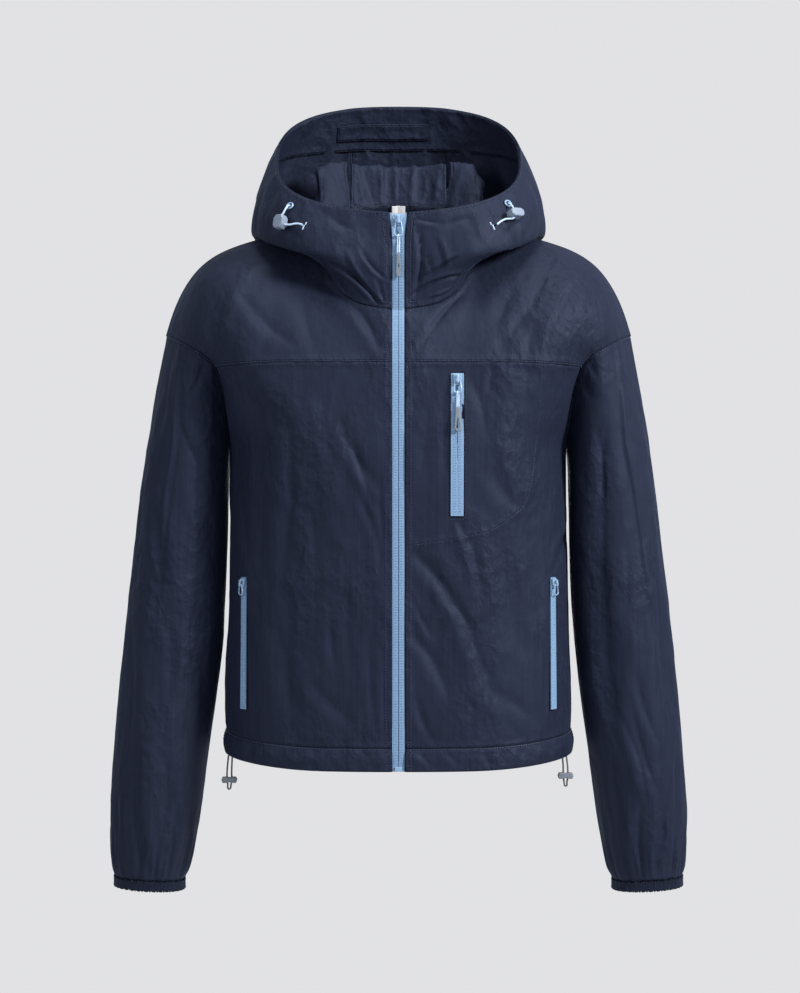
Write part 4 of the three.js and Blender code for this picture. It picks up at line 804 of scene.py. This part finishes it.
def lean(places):
    """How far the cuff's outer side stands above its inner side, from its middle line."""
    return 2.2 * (np.abs(places[:, 0]) - 263) / 38


def leaning(places):
    """The cuff and the end of the sleeve hang a little lower on the inner side."""
    moved = np.zeros(places.shape)
    moved[:, 2] = lean(places) * np.clip((-600 - places[:, 2]) / 90, 0, 1)
    return moved


def tucked(places):
    """The sleeve's end goes a little way into the cuff."""
    moved = leaning(places)
    share = np.clip((-685.5 - places[:, 2]) / 3, 0, 1)
    moved[:, 0] -= 0.045 * share * (places[:, 0] - np.sign(places[:, 0]) * CUFF_X)
    moved[:, 1] -= 0.045 * share * (places[:, 1] - CUFF_Y)
    moved[:, 2] -= 2 * share
    return moved


for side in ("left", "right"):
    rows = [(SEAM_INSET, lambda p: p.z > -236)]
    sleeve = panel("sleeve_" + side, sleeve_height(side), rows, 2, 0.0034, reshape=tucked)


# Cuffs: narrow elastic binding with fine ribs, folded over the gathered end of the sleeve.
def ribbed(name):
    """The shell's cloth drawn into fine ribs by the elastic."""
    material = nylon(name, (0.011, 0.014, 0.0265), 0.0004, 0.00005, 0.6)
    tree = material.node_tree
    turn = tree.nodes.new("ShaderNodeAttribute")
    turn.attribute_name = "turn"
    wave = tree.nodes.new("ShaderNodeMath")
    wave.operation = "SINE"
    ribs = tree.nodes.new("ShaderNodeBump")
    ribs.inputs["Distance"].default_value = 0.0005
    shader = tree.nodes["Principled BSDF"]
    tree.links.new(turn.outputs["Fac"], wave.inputs[0])
    tree.links.new(wave.outputs[0], ribs.inputs["Height"])
    tree.links.new(shader.inputs["Normal"].links[0].from_socket, ribs.inputs["Normal"])
    tree.links.new(ribs.outputs["Normal"], shader.inputs["Normal"])
    return material


navy_rib = ribbed("navy elastic rib")
CUFF_WALL = 0.0016
CUFF_RIBS = 150


def cuff_turn(places):
    """The angle of places round their cuff."""
    return np.arctan2(places[:, 1] - CUFF_Y, places[:, 0] - np.sign(places[:, 0]) * CUFF_X)


def cuff_height(places, normals):
    """Coarse ribs, and a band that is rounded over at its top and bottom."""
    level = (places[:, 2] + 694 - lean(places)) / 5.25
    return 0.25 * np.cos(cuff_turn(places) * 46) * (1 - level**2) - 1.5 * np.abs(level) ** 3


for side in ("left", "right"):
    cuff = panel("cuff_" + side, cuff_height, levels=2, longest=0.0015, wall=CUFF_WALL, material=navy_rib,
                 worn=0.0, reshape=leaning, even=3)
    turns = CUFF_RIBS * cuff_turn(np.array([v.co for v in pressed["cuff_" + side].verts]) * 1000)
    cuff.data.attributes.new("turn", "FLOAT", "POINT").data.foreach_set("value", turns)

# Hood: two sides and a long centre panel, double stitched. It lies folded on the shoulders, its crown
# stands up as a ridge behind the neck, and the collar breaks into sharp small creases beside the zip.
hood_creases = [
    # distance round the collar from the zip, and z
    (-50, -42, -17, -91, 2.2, -2.4, 4), (-64, -53, -19, -97, 3, 3.6, -5), (-38, -36, -15, -66, 2.2, 2.2, 3),
    (-24, -66, -15, -92, 2, 1.8, 0), (-76, -58, -46, -90, 4, 2.0, 3), (21, -17, 19, -80, 3, 4.4, -4),
    (66, -63, 16, -83, 2.2, 2.6, 4), (55, -46, 32, -64, 2.4, 3.0, 0), (42, -24, 50, -54, 3, -1.8, 0),
    (74, -58, 58, -86, 3, 1.8, 3), (30, -34, 35, -60, 2.2, 1.8, 2), (34, -84, 60, -72, 2, -1.4, 2),
    (136, 48, 112, 10, 5, -1.6, 3),
    (122, -4, 98, -24, 6, 1.6, 3), (142, 10, 128, -18, 6, 1.5, 0), (-142, 40, -118, 0, 7, 1.5, 3),
    (-122, -10, -90, -25, 6, 1.5, -3), (-70, 0, -48, -16, 5, 1.3, 2), (72, -4, 46, -15, 4, 1.5, 2),
    (-100, 6, -84, -14, 5, 1.1, 2), (92, 4, 84, -20, 5, 1.2, 0), (20, -6, 44, -10, 3, 1.2, 0),
    (-160, 30, -150, -16, 7, 1.5, 3), (160, 34, 152, -14, 7, 1.6, -3),
    (182, 22, 168, -20, 8, 2.0, 4), (222, 60, 205, -20, 9, 2.2, 5), (262, 90, 250, -20, 9, 2.1, -5),
    (300, 112, 296, 0, 10, 2.2, 4), (342, 112, 346, -14, 9, 2.1, -4), (320, 60, 330, -40, 8, 1.6, 3),
    (-186, 26, -172, -22, 8, 2.1, -4), (-226, 64, -210, -16, 9, 2.3, -5), (-258, 84, -252, -26, 9, 1.9, 4),
    (-296, 108, -304, -10, 10, 2.2, -4), (-338, 114, -334, -8, 9, 1.9, 4), (-370, 90, -362, -30, 8, 1.7, 3),
]
crown_creases = [
    # x and z on the layer that stands up behind the neck
    (-92, 80, -80, 28, 4, 4.2, -3), (-75, 76, -58, 52, 3, 2.6, 3), (-70, 60, -54, 32, 3, 2.2, -3),
    (-62, 78, -56, 58, 3, 1.6, 0), (-30, 60, -4, 42, 3, 1.2, 2), (26, 70, 44, 52, 3, 1.3, 2),
    (98, 78, 86, 30, 4, 4.2, 3), (64, 78, 58, 46, 3, 2.0, -2), (82, 76, 72, 40, 3, 2.1, 3),
    (-20, 46, -46, 34, 4, 1.3, 0), (22, 48, 48, 36, 4, 1.4, 0), (70, 52, 88, 34, 4, 1.4, 0),
    (-40, 130, -26, 108, 5, 1.6, 2), (4, 134, 22, 114, 5, 1.7, 2), (50, 132, 70, 112, 5, 1.7, -2),
    (-70, 126, -84, 106, 6, 1.5, 2), (84, 120, 96, 96, 6, 1.4, 2), (-12, 116, -2, 100, 4, 1.3, 0),
]


def hood_height(places, normals):
    x, y, z = places.T
    round_collar = np.arctan2(x, 10 - y) * 120
    outside = (normals[:, 0] * x + normals[:, 1] * (y - 10)) > 0
    outer = creased(hood_creases, round_collar, z)
    inner = creased(crown_creases, x, z)
    return np.where(outside, outer, np.where(y > 25, inner, 0))


def rim_height(p):
    """How far a place lies above the hood's sloping opening, roughly."""
    return p.z - 72 - 0.68 * p.y


def near_rim(p):
    return rim_height(p) > -8 and abs(p.x) > 20


def centre_seam(p):
    return p.y > 40 and 40 < abs(p.x) < 64


def peaked(places):
    """The layer that stands behind the neck comes to a peak on each side."""
    x, y, z = places.T
    moved = np.zeros(places.shape)
    close = np.exp(-((np.abs(x) - 76) ** 2 + (z - 62) ** 2) / 24**2) * ((y < 90) & (y > 20))
    moved[:, 0] = np.sign(x) * 13 * close
    moved[:, 2] = 9 * close
    return moved


hood_rows = [(0.0024, centre_seam), (0.0022, near_rim)]
collar_rows = [(ZIP_INSET, lambda p: abs(p.x) < 20 and p.y < -60)]
for side in ("left", "right"):
    hood_side = panel("hood_side_" + side, hood_height, collar_rows + hood_rows, reshape=peaked)
hood_centre = panel("hood_centre", hood_height, hood_rows)

# Casing inside the hood's opening for the drawcord, with its short stitched channel strip.
FACING = 0.001
casing_creases = [
    (-41, 134, -27, 116, 5, 1.0, 0), (2, 136, 18, 118, 5, 1.0, 0), (48, 134, 66, 116, 5, 1.0, 0),
    (-80, 126, -66, 110, 5, 0.9, 0), (88, 118, 96, 100, 5, 0.9, 0),
]
rows = [(0.0016, lambda p: rim_height(p) < -14)]
casing = panel("hood_casing", laid(casing_creases), rows, 2, wall=FACING, worn=0.5)
rows = [(0.0014, lambda p: True)]
strip = panel("hood_strip", laid(casing_creases), rows, 2, wall=FACING, worn=0.2)

# Neck label: a small folded piece of white satin ribbon, bare, lying in front of the cloth that it is
# sewn to.
ribbon = grained("white satin ribbon", (0.78, 0.77, 0.78), 0.55, 1800, 0.00004)
label = moulded("neck_label", 0.0003, ribbon)
for vertex in label.data.vertices:
    vertex.co.y -= 0.0017

# Stitching: every row along the panels in one piece, then the rolled edge round the chest pocket's zip and
# a pale blue bar tack beside each end of the hood's cord.
sewn("stitching", stitches)


def lip(name, node, corners, thick):
    """The folded edge of cloth round a zip, through x, z in millimetres on a panel."""
    surface = BVHTree.FromBMesh(pressed[node])
    points = []
    for (x0, z0), (x1, z1) in zip(corners, corners[1:]):
        count = max(1, round(math.hypot(x1 - x0, z1 - z0) / 6))
        for i in range(count + 1):
            spot = Vector((x0 + (x1 - x0) * i / count, 0, z0 + (z1 - z0) * i / count)) / 1000
            place = surface.ray_cast(Vector((spot.x, -1, spot.z)), Vector((0, 1, 0)))[0]
            if place and (not points or (place - points[-1]).length > 0.0004):
                points.append(place + Vector((0, -thick * 0.1, 0)))
    cord_piece(name, points, thick, navy)


welt_edge = [(52.0, -162.5), (52.0, -306.5), (53.6, -308.2), (64.9, -308.2), (66.6, -306.5), (66.8, -162.5)]
lip("chest welt", "front_left", welt_edge + welt_edge[:1], 0.0016)
tack = [(96.2, -98.6, -8.4), (97.4, -98.4, -11.2), (98.2, -98.2, -14.2)]
for side, s in (("left", 1), ("right", -1)):
    surface = BVHTree.FromBMesh(pressed["hood_side_" + side])
    places = []
    for x, y, z in tack:
        place, normal, _, _ = surface.find_nearest(Vector((s * x, y, z)) / 1000)
        places.append((place, Vector((s * 0.3, 0, -1)), normal))
    sewn("bar tack " + side, places, (0.0034, 0.0016, 0.0007), hood_cord_finish)


# Front zip: reversed coil on pale blue woven tape, the coil showing as two rows of fine bars beside the
# gap, with a painted slider, and a ring, a doubled cord and a moulded grip that swing together.
def tape_finish(name, colour):
    """Woven tape: fine ribs along it."""
    material, shader = finish(name, colour, 0.6)
    node = textured(material, shader, grain, {"Scale": 1700, "Height": 0.00015})
    toned(material, shader, node.outputs["Mask"], colour, 0.72, 1.25)
    return material


tape_blue = tape_finish("pale blue zip tape", (0.155, 0.265, 0.41))
coil_blue = grained("pale blue coil", (0.235, 0.37, 0.53), 0.4, 2000, 0.00002)
# The coil seen deep in the parting of the tapes: a dark copy of the coil's blue, which is painted shade
coil_painted_shade = grained("shaded blue coil", (0.030, 0.055, 0.10), 0.6, 2000, 0.00005)


def keeps(node, material):
    """A CAD node that stays gets its material."""
    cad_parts[node].data.materials.clear()
    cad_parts[node].data.materials.append(material)


def coil(name, node, columns, heights):
    """Bars of the coil on a tape, at each x of columns and each z of heights."""
    shape = bmesh.new()
    shape.from_mesh(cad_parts[node].data)
    surface = BVHTree.FromBMesh(shape)
    places = []
    for x in columns:
        for z in heights:
            point, normal, _, _ = surface.ray_cast(Vector((x / 1000, -1, z / 1000)), Vector((0, 1, 0)))
            if point:
                places.append((point, Vector((1, 0, 0)), normal))
    shape.free()
    sewn(name, places, (0.0021, 0.00085, 0.0006), coil_blue)


def centre_strip(name, nodes, middle, ends, heights, beside, back, material):
    """The meshed coil behind the parting of the tapes: a strip with its middle at x, and its half width
    at both ends. It lies back from the tape's face, which is found beside the parting."""
    shape = bmesh.new()
    for node in nodes:
        shape.from_mesh(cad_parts[node].data)
    surface = BVHTree.FromBMesh(shape)
    shape.free()
    strip = bmesh.new()
    bmesh.ops.create_grid(strip, x_segments=2, y_segments=len(heights) - 1, size=0.5)
    halves = np.linspace(*ends, len(heights))
    depths = []
    for z in heights:
        start = Vector(((middle + beside) / 1000, -1, z / 1000))
        place = surface.ray_cast(start, Vector((0, 1, 0)))[0]
        depths.append(place.y if place else depths[-1])
    for vertex in strip.verts:
        i = round((vertex.co.y + 0.5) * (len(heights) - 1))
        x = middle + 2 * vertex.co.x * halves[i]
        vertex.co = (x / 1000, depths[i] + back, heights[i] / 1000)
    mesh = bpy.data.meshes.new(name)
    bmesh.ops.recalc_face_normals(strip, faces=strip.faces)
    if sum(f.normal.y for f in strip.faces) > 0:
        bmesh.ops.reverse_faces(strip, faces=strip.faces)
    strip.to_mesh(mesh)
    strip.free()
    mesh.materials.append(material)
    piece = put(name, mesh)
    solid = piece.modifiers.new("thickness", "SOLIDIFY")
    solid.thickness = 0.0004
    solid.offset = -1


for side, s in (("left", 1), ("right", -1)):
    keeps("zip_tape_" + side, tape_blue)
    for inner in (1.7, 3.7):
        bars = np.arange(-556, -24, 1.6)
        coil("front coil " + side + str(inner), "zip_tape_" + side, [s * inner], bars)
tapes = ["zip_tape_left", "zip_tape_right"]
levels = np.linspace(-562, -22, 80)
# the strip in the parting is the coil darkened with painted shade; the top end keeps the coil's own blue
centre_strip("front coil middle", tapes, 0, (0.8, 0.8), levels, 5, 0.0006, coil_painted_shade)
levels = np.linspace(-24, 0, 8)
centre_strip("front coil end", tapes, 0, (0.9, 5.7), levels, 5, 0.0006, coil_blue)
moulded("front_zip_box", 0.0003, painted)
moulded("front_slider", 0.0003, painted)
softened("front_ring", 0.0001, painted, "front_pull")
softened("front_cord", 0.00006, hood_cord_finish, "front_pull")
moulded("front_grip", 0.0004, grip_finish, "front_pull")

# Chest pocket zip: the same tape and coil, set into a welt on the left front.
keeps("chest_tape", tape_blue)
CHEST_MIDDLE = 59.4
for inner in (-3.4, -1.6, 1.6, 3.4):
    coil("chest coil " + str(inner), "chest_tape", [CHEST_MIDDLE + inner], np.arange(-304, -180, 1.6))
levels = np.linspace(-306, -176, 30)
# the strip in the parting of the chest zip is the coil darkened with painted shade
centre_strip("chest coil middle", ["chest_tape"], CHEST_MIDDLE, (0.45, 0.45), levels, 2.4, -0.0002, coil_painted_shade)
moulded("chest_slider", 0.0003, painted)
softened("chest_ring", 0.0001, painted, "chest_pull")
softened("chest_cord", 0.00006, hood_cord_finish, "chest_pull")
moulded("chest_grip", 0.0004, grip_finish, "chest_pull")

# Hand pocket zips: narrow, one in each front just before the side, each with a slider and a ring.
for side, s in (("left", 1), ("right", -1)):
    tape, bars = "pocket_" + side + "_tape", np.arange(-500, -384, 1.5)
    keeps(tape, tape_blue)
    coil("pocket coil " + side, tape, [s * 158.2, s * 160.6], bars)
    moulded("pocket_" + side + "_slider", 0.0003, painted)
    softened("pocket_" + side + "_ring", 0.0001, painted, "pocket_pull_" + side)

# Floor and light: a pale floor well below, a plain pale backdrop, and soft light mostly from the
# wearer's left.
floor_shape = bmesh.new()
bmesh.ops.create_circle(floor_shape, cap_ends=True, segments=96, radius=1.55)
for vertex in floor_shape.verts:
    vertex.co.z = -1.2
floor_mesh = bpy.data.meshes.new("floor")
floor_shape.to_mesh(floor_mesh)
floor = bpy.data.objects.new("floor", floor_mesh)
bpy.context.scene.collection.objects.link(floor)
floor_mesh.materials.append(finish("pale floor", (0.72, 0.72, 0.73), 0.9)[0])

world = bpy.data.worlds.new("pale room")
bpy.context.scene.world = world
world.use_nodes = True
seen = world.node_tree.nodes["Background"]
seen.inputs["Color"].default_value = (0.76, 0.76, 0.775, 1)
lit = world.node_tree.nodes.new("ShaderNodeBackground")
lit.inputs["Color"].default_value = (0.8, 0.86, 1.0, 1)
lit.inputs["Strength"].default_value = 0.38
ray = world.node_tree.nodes.new("ShaderNodeLightPath")
pick = world.node_tree.nodes.new("ShaderNodeMixShader")
world.node_tree.links.new(ray.outputs["Is Camera Ray"], pick.inputs["Fac"])
world.node_tree.links.new(lit.outputs["Background"], pick.inputs[1])
world.node_tree.links.new(seen.outputs["Background"], pick.inputs[2])
world.node_tree.links.new(pick.outputs["Shader"], world.node_tree.nodes["World Output"].inputs["Surface"])
bpy.context.scene.view_settings.view_transform = "Standard"


def soft_light(name, place, aim, size, power):
    """A round lamp of a width in metres and a power in watts, turned to a place."""
    lamp = bpy.data.lights.new(name, "AREA")
    lamp.shape = "DISK"
    lamp.size = size
    lamp.energy = power
    light = bpy.data.objects.new(name, lamp)
    bpy.context.scene.collection.objects.link(light)
    light.location = place
    light.rotation_euler = (Vector(aim) - Vector(place)).to_track_quat("-Z", "Y").to_euler()


soft_light("key", (1.75, -1.25, 0.85), (0, 0, -0.3), 0.55, 78)
soft_light("fill", (-1.6, -1.8, 0.3), (0, 0, -0.3), 1.0, 16)
soft_light("top", (0.2, -0.5, 1.6), (0, 0, -0.1), 0.7, 22)
soft_light("back", (0, 2.4, -0.1), (0, 0, -0.3), 1.0, 8)
